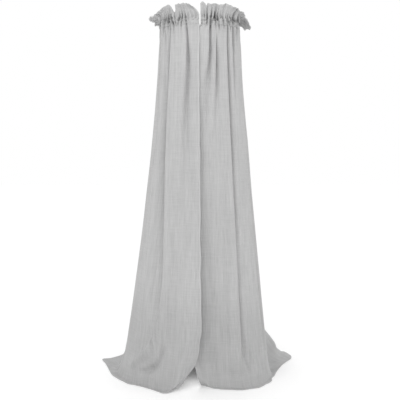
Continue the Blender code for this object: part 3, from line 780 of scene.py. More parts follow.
def drop_offsets(girth, base, fall_share, bend_share):
    """How far each point moves outwards, and round the girth."""
    below = CASING_FOOT - base[:, :, 2]
    hanging = 1.0 - ease(bend_share)
    depth = creases(girth, fall_share)
    out = GATHER_DEPTH * gathers(girth) * np.exp(-below / GATHER_FADE)
    out -= depth * ease(below / CREASE_EASE)
    level = np.maximum(below.mean(axis=1), 0.0)
    weights = valleys.low_depth * np.exp(-((level[:, None] / valleys.drop_run) ** 1.5))
    places = np.broadcast_to(valleys.low, weights.shape)
    widths = valleys.width * (VALLEY_SPREAD + VALLEY_OPENING * level[:, None, None])
    folds = valley_field(girth, places, widths, weights)
    out -= folds
    out -= GROOVE * np.exp(-below / GROOVE_REACH)
    parting = ease(below / LAP_RUN)
    left = ease(1.0 - (girth - LEFT_EDGE) / LAP_REACH)
    right = ease(1.0 - (RIGHT_EDGE - girth) / LAP_REACH)
    out += LAP_DEPTH * parting * (left - right)
    across = np.broadcast_to(girth * DEGREE_OF_DROP, below.shape)
    loose = ease(below / LOOSE_FROM)
    out += loose * crinkle(LONG_CRINKLE, across, below)
    out += loose * crinkle(FINE_CRINKLE, across, below)
    out *= hanging
    out += foot_forms(girth, run_from_hem(base))
    out += (1.0 - hanging) * crinkle(FOOT_CRINKLE, across, below)
    behind = LAP_WIDTH * ease(below / LAP_CLOSE) * right * hanging
    near_slit = ease(1.0 - (girth - LEFT_EDGE) / SLIT_REACH)
    behind += near_slit * loose * crinkle(SLIT_RIPPLE, np.zeros_like(across), below)
    return out, behind, folds


# %% Build the drop's grid
def drop_grid():
    """The drop's outer face, and how deep in gathers each place lies, for the painted shade."""
    normal = grid_normals(base)
    normal[0, :, 2] = 0.0
    normal[0] /= np.linalg.norm(normal[0], axis=1, keepdims=True)
    out, behind, folds = drop_offsets(girth, base, fall_share, bend_share)
    grid = base + normal * out[:, :, None]
    grid[:, :, 0] -= behind
    grid[:, :, 2] = np.maximum(grid[:, :, 2], FLOOR + LYING)
    grid[0, :, 2] = base[0, :, 2]
    return grid, folds


drop, drop_fold_shade = drop_grid()
row_length = np.linalg.norm(np.diff(drop, axis=1), axis=2).sum(axis=1)
print("girth at the casing %.2f m, half way %.2f m, at the hem %.2f m" % (
    row_length[0], row_length[len(row_length) // 2], row_length[-1]))

# %% [markdown]
# ## Hems
#
# A hem is the same cloth turned in and sewn down, so it is built that way: past each edge the
# grid goes on round a small curve and back along the inside for the width of the hem. The
# places are read at a fixed distance from the edge along the cloth, so the hem stays 8 mm
# wide although the cloth's columns spread towards the foot. Every point also keeps how far it
# lies from the slit and from the hem, which the material uses for the turned-in strip.

# %% Turn the hems in
ROUND = (0.2, 0.5, 0.8)  # shares of the turn from the outside to the inside
INSIDE = (0.0, 0.0025, 0.005, HEM_WIDTH)  # places of the turned-in layer, from the edge
NEAR_COLUMNS = 60  # columns among which the hem's places are looked for
EDGE_AIM = 0.004  # length of cloth from which the direction past the edge is read
FOOT_HEM_DEPTH = 1.3 * HEM_DEPTH


def at_distance(grid, distance):
    """Points that far from the last column, measured along each row, and where they are."""
    back = grid[:, ::-1][:, :NEAR_COLUMNS]
    steps = np.linalg.norm(np.diff(back, axis=1), axis=2)
    far = np.concatenate([np.zeros((len(back), 1)), np.cumsum(steps, axis=1)], axis=1)
    place = np.clip((far < distance).sum(axis=1), 1, back.shape[1] - 1)
    rows = np.arange(len(back))
    span = far[rows, place] - far[rows, place - 1]
    t = np.clip((distance - far[rows, place - 1]) / np.maximum(span, 1e-9), 0.0, 1.0)
    return back[rows, place - 1] * (1 - t[:, None]) + back[rows, place] * t[:, None]


def turned_in(grid, normal, depth):
    """Extra columns past the last one: the hem's round edge and its layer inside."""
    edge = grid[:, -1]
    outwards = edge - at_distance(grid, EDGE_AIM)
    outwards /= np.maximum(np.linalg.norm(outwards, axis=1, keepdims=True), 1e-9)
    inward = -normal[:, -1]
    columns = []
    for share in ROUND:
        past = math.sin(math.pi * share) * depth * 0.5
        columns.append(edge + outwards * past + inward * depth * share)
    for distance in INSIDE:
        columns.append(at_distance(grid, distance) + inward * depth)
    return np.stack(columns, axis=1)


def flipped(grid):
    return grid[:, ::-1]


def turned(grid):
    return np.swapaxes(grid, 0, 1)


def distance_from_end(grid, axis):
    """Length of cloth from each point to the last column (axis 1) or row (axis 0)."""
    steps = np.linalg.norm(np.diff(grid, axis=axis), axis=2)
    total = np.cumsum(np.flip(steps, axis), axis=axis)
    zero = np.zeros_like(np.take(total, [0], axis=axis))
    return np.flip(np.concatenate([zero, total], axis=axis), axis)

# %% [markdown]
# ## From a grid to a piece
#
# Each sheet is a grid of points, so its faces follow from the grid's order alone. Three UV
# maps go with it, because a material can't measure cloth by itself: the place on the flat
# cloth in metres, how far it is to the nearest edges, and how much painted shade it gets
# from its folds.


# %% Mesh and UV helpers
def make_mesh(name, grid, uv, edges, folds):
    """A mesh over a grid of points, its faces outwards, with three UV maps."""
    rows, columns = grid.shape[:2]
    aside = (columns - folds.shape[1]) // 2
    folds = np.pad(folds, ((0, rows - folds.shape[0]), (aside, aside)), mode="edge")
    folds = np.stack([folds, np.zeros_like(folds)], axis=2)
    index = np.arange(rows * columns).reshape(rows, columns)
    faces = np.stack([index[:-1, :-1], index[:-1, 1:], index[1:, 1:], index[1:, :-1]], axis=2)
    faces = faces.reshape(-1, 4)
    mesh = bpy.data.meshes.new(name)
    mesh.from_pydata(grid.reshape(-1, 3).tolist(), [], faces.tolist())
    corners = np.array([loop.vertex_index for loop in mesh.loops])
    for label, values in (("UVMap", uv), ("Edges", edges), ("Folds", folds)):
        layer = mesh.uv_layers.new(name=label)
        layer.data.foreach_set("uv", values.reshape(-1, 2)[corners].ravel())
    mesh.update()
    mesh.shade_smooth()
    return mesh


def put_in_scene(name, mesh, nodes=()):
    """Makes a finished mesh a piece of the scene, riding on the frame."""
    piece = bpy.data.objects.new(name, mesh)
    bpy.context.scene.collection.objects.link(piece)
    if nodes:
        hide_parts(*nodes)
    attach(piece, "root")
    return piece


# %% Hems on three sides
def hemmed(grid, across, down):
    """The grid with its slit edges and its last row turned in, and its two UV maps."""
    normal = grid_normals(grid)
    uv = np.stack([across, down], axis=2)
    from_left = np.flip(distance_from_end(np.flip(grid, 1), 1), 1)
    from_slit = np.minimum(distance_from_end(grid, 1), from_left)
    edges = np.stack([from_slit, distance_from_end(grid, 0)], axis=2)
    right = turned_in(grid, normal, HEM_DEPTH)
    left = flipped(turned_in(flipped(grid), flipped(normal), HEM_DEPTH))
    count = right.shape[1]
    stripe = np.linspace(0.0, HEM_WIDTH, count)
    grid = np.concatenate([left, grid, right], axis=1)
    uv_left = uv[:, :1] + np.stack([stripe[::-1], np.zeros(count)], axis=1)
    uv_right = uv[:, -1:] - np.stack([stripe, np.zeros(count)], axis=1)
    uv = np.concatenate([uv_left, uv, uv_right], axis=1)
    inside = np.broadcast_to(stripe, (grid.shape[0], count))
    left_edges = np.stack([inside[:, ::-1], np.repeat(edges[:, :1, 1], count, 1)], axis=2)
    right_edges = np.stack([inside, np.repeat(edges[:, -1:, 1], count, 1)], axis=2)
    edges = np.concatenate([left_edges, edges, right_edges], axis=1)
    normal = grid_normals(grid)
    foot = turned(turned_in(turned(grid), turned(normal), FOOT_HEM_DEPTH))
    count = foot.shape[0]
    stripe = np.linspace(0.0, HEM_WIDTH, count)
    uv_foot = uv[-1:] - np.stack([np.zeros(count), stripe], axis=1)[:, None]
    edge_foot = np.stack([np.repeat(edges[-1:, :, 0], count, 0),
                          np.repeat(stripe[:, None], grid.shape[1], 1)], axis=2)
    grid = np.concatenate([grid, foot], axis=0)
    uv = np.concatenate([uv, uv_foot], axis=0)
    edges = np.concatenate([edges, edge_foot], axis=0)
    return grid, uv, edges


# %% Make the drop
across = np.broadcast_to(girth / 360.0 * 0.5 * (CUT_WIDTH_TOP + CUT_WIDTH_FOOT), drop.shape[:2])
down = distance_from_end(np.flip(drop, 0), 0)[::-1]
drop_full, drop_uv, drop_edges = hemmed(drop, across, down)
drop_full[:, :, 2] = np.maximum(drop_full[:, :, 2], FLOOR + HEM_LYING)
drop_mesh = make_mesh("gauze_drop", drop_full, drop_uv, drop_edges, drop_fold_shade)
drop_piece = put_in_scene("gauze_drop", drop_mesh, ["drop"])
print("drop:", 2 * len(drop_mesh.polygons), "triangles")

# %% [markdown]
# ## The casing
#
# The casing is the band that the hoop passes through: two layers, joined along both lines of
# stitches. Its valleys run from their place on the lower line to their place on the upper
# one, so they slant and lean into each other, and between the lines the band puffs out over
# the hoop. The inner layer follows the outer one closely, as it does where both are drawn up.

# %% Build the casing
CASING_ROWS = 16
CASING_PUFF = 0.0042
CASING_SWELL = 0.25  # how much stronger the gathers are midway between the stitch lines
CRUMPLE = Crinkle(0.0014, 0.006, 0.008, 8)
# Small folds that cross the band on a slant, to one side and the other.
KNOTS = ((1.0, Crinkle(0.0032, 0.0075, 0.011, 9)), (-1.0, Crinkle(0.0032, 0.0075, 0.011, 10)))
KNOT_SHADE = 1.4  # how much painted shade a knot adds, as a multiple of how deep it sinks
ROOT_SHADE = 0.0032  # painted shade along the upper stitch line, in metres of fold depth
LIGHTER_BELOW = 0.45  # share by which the casing's painted shade is less at the lower stitch line


def root_shade(share):
    """Painted shade beside the upper stitch line, in metres of fold depth."""
    return ROOT_SHADE * smooth_column(PACKING, "strength", girth) * (1.0 - share)


def casing_grid():
    """The casing's two layers, and the painted shade of its folds at each place."""
    x, y = hoop_point(girth)
    out_x, out_y = hoop_outward(girth)
    steps = np.linspace(0.0, 1.0, CASING_ROWS)
    level = np.repeat((CASING_TOP + (CASING_FOOT - CASING_TOP) * steps)[:, None], len(girth), 1)
    middle = np.sin(np.pi * steps)[:, None]
    share = steps[:, None]
    places = valleys.high + (valleys.low - valleys.high) * share
    weights = valleys.high_depth + (valleys.low_depth - valleys.high_depth) * share
    widths = (valleys.width * (VALLEY_SPREAD + 0.5 * middle))[:, None, :]
    out = GATHER_DEPTH * gathers(girth) * (1.0 + CASING_SWELL * middle)
    folds = valley_field(girth, places, widths, weights)
    out = out - folds - GROOVE * (1.0 - middle) ** 4
    # From here `folds` is painted shade: more along the upper stitch line, less at the lower one.
    folds = (folds + root_shade(share)) * (1.0 - LIGHTER_BELOW * share)
    across = np.broadcast_to(girth * DEGREE_AT_HOOP, level.shape)
    out = out + middle * crinkle(CRUMPLE, across, level)
    for lean, kind in KNOTS:
        line = 1.0 - np.abs(crinkle(kind, across + lean * level, level)) / kind.height
        knots = kind.height * middle**0.5 * line**4
        out = out - knots
        folds = folds + KNOT_SHADE * knots
    puffed = out + CASING_PUFF * middle**2
    behind = out - CASING_LAYER * np.minimum(1.0, 3.0 * middle)

    def points(offset):
        return np.stack([x + out_x * offset, y + out_y * offset, level], axis=2)

    band = np.concatenate([points(puffed), points(behind)[::-1][1:]], axis=0)
    return band, np.concatenate([folds, folds[::-1][1:]], axis=0)


# %% Make the casing
casing, casing_fold_shade = casing_grid()
casing_across = np.broadcast_to(girth / 360.0 * CUT_WIDTH_TOP, casing.shape[:2])
casing_down = distance_from_end(np.flip(casing, 0), 0)[::-1]
casing_uv = np.stack([casing_across, casing_down], axis=2)
casing_edges = np.full_like(casing_uv, 0.1)
casing_mesh = make_mesh("gauze_casing", casing, casing_uv, casing_edges, casing_fold_shade)
casing_piece = put_in_scene("gauze_casing", casing_mesh, ["casing"])
print("casing:", 2 * len(casing_mesh.polygons), "triangles")

# %% [markdown]
# ## The frill
#
# Above the casing the same cloth stands free. Close to the stitches it still shows every
# gather; towards its edge they open into wider waves, and the whole frill flops where its own
# weight takes it. In front it stands and falls open in two gaps, at the sides it lies over
# outwards. Each row of the table says where the free edge is for one place of the root:
# `side` is how far it swings round the hoop (towards the left from the front), `out` how far
# from it, and `up` how high over the stitches; `wave` is how much it ruffles there. A smooth
# curve that starts upright joins the two.

# %% Frill table
Edge = namedtuple("Edge", "girth side out up wave")
EDGES = [
    Edge(0.9, 0.029, 0.008, 0.030, 0.0006),
    Edge(4.0, 0.026, 0.012, 0.033, 0.0014),
    Edge(8.0, 0.021, 0.014, 0.035, 0.0020),
    Edge(13.0, 0.016, 0.015, 0.037, 0.0026),
    Edge(18.0, 0.011, 0.015, 0.040, 0.0024),
    Edge(23.0, 0.008, 0.014, 0.039, 0.0020),
    Edge(28.0, 0.005, 0.013, 0.037, 0.0016),
    Edge(32.0, 0.004, 0.011, 0.037, 0.0010),
    Edge(34.6, 0.001, 0.009, 0.039, 0.0006),
    Edge(36.2, 0.000, -0.006, 0.025, 0.0008),
    Edge(38.4, -0.001, -0.011, 0.012, 0.0008),
    Edge(40.0, -0.003, -0.006, 0.014, 0.0008),
    Edge(42.0, -0.005, 0.002, 0.025, 0.0012),
    Edge(44.0, -0.007, 0.006, 0.033, 0.0014),
    Edge(46.0, -0.007, 0.008, 0.038, 0.0016),
    Edge(50.0, -0.006, 0.009, 0.041, 0.0018),
    Edge(55.0, -0.003, 0.009, 0.040, 0.0020),
    Edge(60.0, 0.000, 0.010, 0.034, 0.0022),
    Edge(66.0, 0.000, 0.013, 0.028, 0.0022),
    Edge(72.0, 0.000, 0.018, 0.021, 0.0022),
    Edge(78.0, -0.002, 0.026, 0.012, 0.0020),
    Edge(84.0, -0.002, 0.034, 0.009, 0.0018),
    Edge(90.0, 0.000, 0.043, 0.010, 0.0018),
    Edge(97.0, 0.002, 0.039, 0.006, 0.0020),
    Edge(104.0, 0.002, 0.030, 0.001, 0.0030),
    Edge(114.0, 0.000, 0.034, 0.000, 0.0060),
    Edge(130.0, 0.002, 0.044, -0.004, 0.0085),
    Edge(150.0, -0.002, 0.040, 0.008, 0.0085),
    Edge(170.0, 0.002, 0.044, 0.000, 0.0085),
    Edge(190.0, -0.002, 0.040, 0.008, 0.0085),
    Edge(210.0, 0.002, 0.044, -0.002, 0.0085),
    Edge(228.0, 0.000, 0.042, 0.006, 0.0085),
    Edge(242.0, 0.000, 0.044, -0.006, 0.0070),
    Edge(252.0, 0.000, 0.036, -0.018, 0.0020),
    Edge(260.0, 0.000, 0.038, -0.026, 0.0012),
    Edge(268.0, 0.000, 0.040, -0.028, 0.0012),
    Edge(274.0, 0.002, 0.040, -0.025, 0.0012),
    Edge(280.0, 0.002, 0.031, -0.008, 0.0014),
    Edge(285.0, 0.000, 0.022, 0.012, 0.0020),
    Edge(290.0, -0.002, 0.022, 0.020, 0.0020),
    Edge(296.0, -0.004, 0.021, 0.022, 0.0020),
    Edge(302.0, -0.006, 0.019, 0.024, 0.0020),
    Edge(308.0, -0.008, 0.019, 0.028, 0.0020),
    Edge(314.0, -0.010, 0.016, 0.033, 0.0020),
    Edge(320.0, -0.009, 0.013, 0.038, 0.0020),
    Edge(326.0, -0.007, 0.010, 0.041, 0.0020),
    Edge(330.5, -0.005, 0.007, 0.041, 0.0024),
    Edge(334.0, -0.004, 0.002, 0.038, 0.0030),
    Edge(337.0, -0.004, 0.004, 0.037, 0.0030),
    Edge(341.0, -0.003, 0.009, 0.038, 0.0030),
    Edge(344.5, -0.003, 0.009, 0.039, 0.0036),
    Edge(347.5, -0.003, 0.007, 0.038, 0.0034),
    Edge(349.6, -0.002, 0.004, 0.040, 0.0026),
    Edge(351.4, 0.000, -0.002, 0.034, 0.0010),
    Edge(353.0, 0.000, -0.002, 0.042, 0.0006),
    Edge(355.2, 0.000, 0.001, 0.046, 0.0006),
    Edge(357.4, 0.000, 0.003, 0.046, 0.0006),
    Edge(359.3, 0.000, 0.000, 0.041, 0.0004),
]

# %% Sizes of the frill
FRILL_ROWS = 26
FRILL_STAND = 0.5  # share of its width over which the frill still stands upright
FRILL_LEAN = 0.08  # share of its reach by which that standing part leans out already
FRILL_SWING = 0.35  # share of its swing that it has made by then
GATHERS_LEFT = 0.4  # share of the gathers' depth that is left at the free edge
Ruffle = namedtuple("Ruffle", "count strength grows swing swing_grows")
RUFFLES = (Ruffle(21, 1.0, 1.3, 0.5, 1.6), Ruffle(47, 0.6, 0.8, 0.4, 1.0))
FRILL_STRETCH = 1.6  # length of cloth in the frill's ruffles, as a multiple of the hoop's
FRILL_CRINKLE = Crinkle(0.0019, 0.0065, 0.024, 21)
FRILL_CRUMPLE = Crinkle(0.0011, 0.0070, 0.010, 22)
EDGE_MARGIN = 4.0  # degrees
EDGE_STEP = 0.1
EDGE_ROUNDING = 15  # steps over which the table's corners are rounded


def edge_column(name):
    """One column of the table at every girth, with its corners rounded."""
    fine = np.arange(LEFT_EDGE - EDGE_MARGIN, RIGHT_EDGE + EDGE_MARGIN, EDGE_STEP)
    value = np.interp(fine, [edge.girth for edge in EDGES], [getattr(e, name) for e in EDGES])
    window = np.hanning(EDGE_ROUNDING)
    value = np.convolve(value, window / window.sum(), mode="same")
    return np.interp(girth, fine, value)


def ruffles(count, ahead=0.0):
    """Uneven waves round the free edge, from -1 to 1."""
    turn = np.radians(girth)
    phase = count * turn + 1.3 * np.sin(2 * turn + 1.0) + 0.9 * np.sin(5 * turn + 0.1 * count)
    return np.sin(phase + ahead)


# %% Build the frill's grid
def frill_grid():
    """The frill, from its free edge down, and the painted shade of its folds, from the stitches up.
    """
    x, y = hoop_point(girth)
    out_x, out_y = hoop_outward(girth)
    side_x, side_y = out_y, -out_x
    side, reach, up, wavy = (edge_column(name) for name in ("side", "out", "up", "wave"))
    rows, folds = [], []
    for step in range(FRILL_ROWS + 1):
        share = step / FRILL_ROWS
        bow = 2 * share * (1 - share)
        far = share * share
        width = share * FRILL_WIDTH
        out = bow * FRILL_LEAN * reach + far * reach
        sway = bow * FRILL_SWING * side + far * side
        height = CASING_TOP + bow * FRILL_STAND * FRILL_WIDTH + far * up
        weights = valleys.high_depth * np.exp(-((width / valleys.frill_run) ** 1.6))
        left = 1.0 - (1.0 - GATHERS_LEFT) * share
        valley = valley_field(girth, valleys.high, valleys.width * (VALLEY_SPREAD + share), weights)
        # Painted shade: the valleys' depth, with more along the stitches, fading up the frill.
        folds.append((valley + root_shade(share) * (1.0 - share)) * (1.0 - share) ** 1.2)
        relief = GATHER_DEPTH * gathers(girth) * left - valley - GROOVE * (1.0 - share) ** 12
        for kind in RUFFLES:
            relief = relief + kind.strength * wavy * ruffles(kind.count) * share**kind.grows
            swing = kind.swing * wavy * ruffles(kind.count, math.pi / 2)
            sway = sway - swing * share**kind.swing_grows
        tilt = np.arctan2((0.1 * bow + 2 * share) * reach, FRILL_WIDTH * left)
        out = out + relief * np.cos(tilt)
        height = height - relief * np.sin(tilt)
        rows.append(np.stack([
            x + out_x * out + side_x * sway,
            y + out_y * out + side_y * sway,
            height,
        ], axis=1))
    grid = np.array(rows[::-1])
    across = np.broadcast_to(girth * DEGREE_AT_HOOP * FRILL_STRETCH, grid.shape[:2])
    down = np.broadcast_to(np.linspace(0.0, FRILL_WIDTH, FRILL_ROWS + 1)[:, None], across.shape)
    loose = np.linspace(1.0, 0.0, FRILL_ROWS + 1)[:, None] ** 0.7
    fine = crinkle(FRILL_CRINKLE, across, down) + crinkle(FRILL_CRUMPLE, across + down, down)
    return grid + grid_normals(grid) * (loose * fine)[:, :, None], np.array(folds)


# %% Make the frill
frill, frill_fold_shade = frill_grid()
frill_across = np.broadcast_to(girth / 360.0 * CUT_WIDTH_TOP, frill.shape[:2])
frill_down = distance_from_end(np.flip(frill, 0), 0)[::-1]
frill_full, frill_uv, frill_edges = hemmed(*(
    np.flip(part, (0, 1)) for part in (frill, frill_across, frill_down)))
frill_mesh = make_mesh("gauze_frill", frill_full, frill_uv, frill_edges, np.flip(frill_fold_shade, 1))
frill_piece = put_in_scene("gauze_frill", frill_mesh, ["frill"])
print("frill:", 2 * len(frill_mesh.polygons), "triangles")

# %% [markdown]
# ## Shader maths in plain expressions
#
# Wiring dozens of Math nodes by hand hides what a material does. This small class wraps a
# socket, so that an expression such as `1 - mask * 0.5` adds its own nodes, and `node` adds
# any other kind from its settings and inputs.


# %% A socket that can do sums
class Wire:
    """A socket of a shader tree that adds Math nodes when it is used in a sum."""

    def __init__(self, tree, socket):
        self.tree = tree
        self.socket = socket

    def math(self, operation, *others):
        made = self.tree.nodes.new("ShaderNodeMath")
        made.operation = operation
        for slot, value in enumerate((self, *others)):
            join(self.tree, made.inputs[slot], value)
        return Wire(self.tree, made.outputs[0])

    def __add__(self, other):
        return self.math("ADD", other)

    def __sub__(self, other):
        return self.math("SUBTRACT", other)

    def __mul__(self, other):
        return self.math("MULTIPLY", other)

    def __rsub__(self, other):
        return (self * -1.0) + other

    __radd__ = __add__
    __rmul__ = __mul__

    def between(self, low, high):
        """0 below low, 1 above high, smooth in between."""
        made = node(self.tree, "ShaderNodeMapRange", {"interpolation_type": "SMOOTHSTEP"},
                    {"Value": self, "From Min": low, "From Max": high})
        return made["Result"]


# %% Any other node
def join(tree, slot, value):
    """Links a wire to a slot, or sets the slot's own value."""
    if isinstance(value, Wire):
        tree.links.new(value.socket, slot)
    else:
        slot.default_value = value


def node(tree, kind, settings=None, inputs=None):
    """Adds any node and returns its outputs by name."""
    made = tree.nodes.new(kind)
    for name, value in (settings or {}).items():
        setattr(made, name, value)
    for name, value in (inputs or {}).items():
        join(tree, made.inputs[name], value)
    return {out.name: Wire(tree, out) for out in made.outputs}


# %% [markdown]
# ## Gauze
#
# Crinkled cotton gauze is matt and nearly one grey. What makes it cloth is small: fine
# streaks that run down it where it dried in creases, fainter bars across it where a thicker
# thread was woven in, the weave itself, and the hems, which are a little lighter because
# three layers let less of the dark inside through. Shade is painted into the colour as well:
# deep in a gather, low down, beside the stitches of a hem and a little over the whole frill,
# with painted light on the frill's sides. The mesh keeps how much painted shade each place
# gets from its folds in a UV map of its own. All else is measured in metres on the cloth's UV
# map, so the pattern follows the folds.

# %% Tones and sizes of the gauze
GAUZE_GREY = 0.455
GAUZE_ROUGHNESS = 0.92
GAUZE_GLOSS = 0.25
GAUZE_SHEEN = 0.12
SHEEN_ROUGHNESS = 0.5
BUMP_STRENGTH = 0.8
Streak = namedtuple("Streak", "across down detail tone height")  # cells in a metre of cloth
STREAKS = {
    "fine": Streak(230.0, 13.0, 2.0, 0.30, 0.0011),
    "wide": Streak(60.0, 4.0, 2.0, 0.16, 0.0012),
    "bars": Streak(9.0, 230.0, 2.0, 0.17, 0.00025),
    "mottle": Streak(9.0, 6.0, 3.0, 0.08, 0.0),
}
THREAD_PITCH = 0.0007
THREAD_TONE = 0.02
THREAD_HEIGHT = 0.00006
HEM_TONE = 0.09
HEM_HEIGHT = 0.0005
HEM_BLUR = 0.0006
STITCH_INSET = HEM_WIDTH - 0.0015
DIP_SHADE = 0.05  # painted shade in the groove beside the stitches of a hem
DIP_WIDTH = (0.0003, 0.0015)
FOOT_SHADE = 0.10  # how much less light comes through the cloth low down
FOOT_SHADE_FROM = (-1.22, -0.98)
PAINTED_LIGHT_FROM = (0.146, 0.172)  # distance from the middle where the frill's sides get painted light
FOLD_SHADE = 0.60  # painted shade: how much darker the cloth is painted deep in a gather
FOLD_FROM = (0.004, 0.016)


# %% Gauze material
def gauze(name, fine_streaks=1.0, shade=1.0, painted_side_light=0.0):
    """One piece's gauze; `shade` is painted shade overall, and its sides get painted light."""
    material = bpy.data.materials.new(name)
    material.use_nodes = True
    tree = material.node_tree
    shader = tree.nodes["Principled BSDF"]
    cloth = node(tree, "ShaderNodeUVMap", {"uv_map": "UVMap"})["UV"]

    def parts(vector):
        return node(tree, "ShaderNodeSeparateXYZ", {}, {"Vector": vector})

    def streaks(kind):
        place = node(tree, "ShaderNodeVectorMath", {"operation": "MULTIPLY"},
                     {0: cloth, 1: (kind.across, kind.down, 1.0)})["Vector"]
        noise = node(tree, "ShaderNodeTexNoise", {"noise_dimensions": "2D"},
                     {"Vector": place, "Scale": 1.0, "Detail": kind.detail, "Roughness": 0.55})
        return (noise["Fac"] if "Fac" in noise else noise["Factor"]) - 0.5

    waves = {axis: (parts(cloth)[axis] * (2 * math.pi / THREAD_PITCH)).math("SINE")
             for axis in ("X", "Y")}
    threads = waves["X"] * waves["Y"]
    edge = parts(node(tree, "ShaderNodeUVMap", {"uv_map": "Edges"})["UV"])
    nearest = edge["X"].math("MINIMUM", edge["Y"])
    hem = 1.0 - nearest.between(HEM_WIDTH - HEM_BLUR, HEM_WIDTH + HEM_BLUR)
    dip = 1.0 - (nearest - STITCH_INSET).math("ABSOLUTE").between(*DIP_WIDTH)
    tone = 1.0 + threads * THREAD_TONE + hem * HEM_TONE - dip * DIP_SHADE
    height = threads * THREAD_HEIGHT + hem * HEM_HEIGHT - dip * HEM_HEIGHT
    for label, kind in STREAKS.items():
        found = streaks(kind)
        tone = tone + found * (kind.tone * (fine_streaks if label == "fine" else 1.0))
        if kind.height:
            height = height + found * kind.height
    here = parts(node(tree, "ShaderNodeTexCoord")["Object"])
    tone = tone * (1.0 - FOOT_SHADE + here["Z"].between(*FOOT_SHADE_FROM) * FOOT_SHADE)
    # Painted shade deep in the gathers: the deeper a place lies in folds, the darker it is painted.
    fold_depth = parts(node(tree, "ShaderNodeUVMap", {"uv_map": "Folds"})["UV"])["X"]
    tone = tone * (1.0 - fold_depth.between(*FOLD_FROM) * FOLD_SHADE)
    # Painted light: the frill is painted lighter towards its sides.
    aside = here["X"].math("ABSOLUTE").between(*PAINTED_LIGHT_FROM)
    tone = tone * (1.0 + aside * painted_side_light) * (shade * GAUZE_GREY)
    grey = node(tree, "ShaderNodeCombineColor", {}, {"Red": tone, "Green": tone, "Blue": tone})
    bump = node(tree, "ShaderNodeBump", {}, {
        "Height": height, "Distance": 1.0, "Strength": BUMP_STRENGTH})
    join(tree, shader.inputs["Base Color"], grey["Color"])
    join(tree, shader.inputs["Normal"], bump["Normal"])
    shader.inputs["Roughness"].default_value = GAUZE_ROUGHNESS
    shader.inputs["Specular IOR Level"].default_value = GAUZE_GLOSS
    shader.inputs["Sheen Weight"].default_value = GAUZE_SHEEN
    shader.inputs["Sheen Roughness"].default_value = SHEEN_ROUGHNESS
    return material


# %% Dress the sheets
drop_piece.data.materials.append(gauze("gauze_of_the_drop"))
casing_piece.data.materials.append(gauze("gauze_of_the_casing", fine_streaks=0.8))
# The frill's shade below 1 is painted shade over the whole frill.
frill_piece.data.materials.append(
    gauze("gauze_of_the_frill", fine_streaks=0.8, shade=0.99, painted_side_light=0.24))
for piece in (drop_piece, casing_piece, frill_piece):
    material = piece.data.materials[0]
    print(material.name, "has", len(material.node_tree.nodes), "nodes")

# %% [markdown]
# ## Stitches
#
# The hems and the two lines of gathers are sewn with thread of the cloth's colour. Each run
# of stitches is a line drawn on the cloth; a small node tree walks along it and sets down one
# stitch after another, each a tiny capsule that points along the line.

# %% Sizes of the stitches
STITCH_SPACING = 0.0036
STITCH_LENGTH = 0.0027
STITCH_UNEVEN = (0.85, 1.1)  # shortest and longest stitch, as a share of the length
THREAD_WIDTH = 0.00042
THREAD_GREY = 0.47
THREAD_MOTTLE = 0.10
THREAD_FIBRE = 900.0  # cells of its mottle in a metre
THREAD_ROUGHNESS = 0.75


# %% The stitch tree
def stitch_tree():
    """A node tree that sets stitches along the edges of a mesh."""
    tree = bpy.data.node_groups.new("stitches", "GeometryNodeTree")
    face = tree.interface
    face.new_socket("Geometry", in_out="INPUT", socket_type="NodeSocketGeometry")
    for label, value in (("Spacing", STITCH_SPACING), ("Length", STITCH_LENGTH),
                         ("Thread", THREAD_WIDTH)):
        made = face.new_socket(label, in_out="INPUT", socket_type="NodeSocketFloat")
        made.default_value = value
    seed = face.new_socket("Seed", in_out="INPUT", socket_type="NodeSocketInt")
    seed.default_value = 5
    face.new_socket("Material", in_out="INPUT", socket_type="NodeSocketMaterial")
    face.new_socket("Geometry", in_out="OUTPUT", socket_type="NodeSocketGeometry")
    start = tree.nodes.new("NodeGroupInput")
    end = tree.nodes.new("NodeGroupOutput")

    def add(kind, settings=None, **inputs):
        made = tree.nodes.new(kind)
        for name, value in (settings or {}).items():
            setattr(made, name, value)
        for name, value in inputs.items():
            slot = made.inputs[name.replace("_", " ")]
            if isinstance(value, bpy.types.NodeSocket):
                tree.links.new(value, slot)
            else:
                slot.default_value = value
        return made

    given = start.outputs
    line = add("GeometryNodeMeshToCurve", Mesh=given["Geometry"])
    points = add("GeometryNodeCurveToPoints", {"mode": "LENGTH"},
                 Curve=line.outputs["Curve"], Length=given["Spacing"])
    capsule = add("GeometryNodeMeshUVSphere", Segments=5, Rings=3, Radius=0.5)
    aim = add("FunctionNodeAlignRotationToVector", {"axis": "Z"},
              Vector=points.outputs["Tangent"])
    vary = add("FunctionNodeRandomValue", {"data_type": "FLOAT"}, Seed=given["Seed"])
    low = [slot for slot in vary.inputs if slot.name == "Min" and slot.type == "VALUE"][0]
    high = [slot for slot in vary.inputs if slot.name == "Max" and slot.type == "VALUE"][0]
    low.default_value, high.default_value = STITCH_UNEVEN
    value = [slot for slot in vary.outputs if slot.type == "VALUE"][0]
    length = add("ShaderNodeMath", {"operation": "MULTIPLY"})
    tree.links.new(given["Length"], length.inputs[0])
    tree.links.new(value, length.inputs[1])
    size = add("ShaderNodeCombineXYZ", X=given["Thread"], Y=given["Thread"],
               Z=length.outputs[0])
    copies = add("GeometryNodeInstanceOnPoints", Points=points.outputs["Points"],
                 Instance=capsule.outputs["Mesh"], Rotation=aim.outputs["Rotation"],
                 Scale=size.outputs["Vector"])
    real = add("GeometryNodeRealizeInstances", Geometry=copies.outputs["Instances"])
    painted = add("GeometryNodeSetMaterial", Geometry=real.outputs["Geometry"],
                  Material=given["Material"])
    tree.links.new(painted.outputs["Geometry"], end.inputs["Geometry"])
    return tree


STITCHES = stitch_tree()
print("the stitch tree has", len(STITCHES.nodes), "nodes")


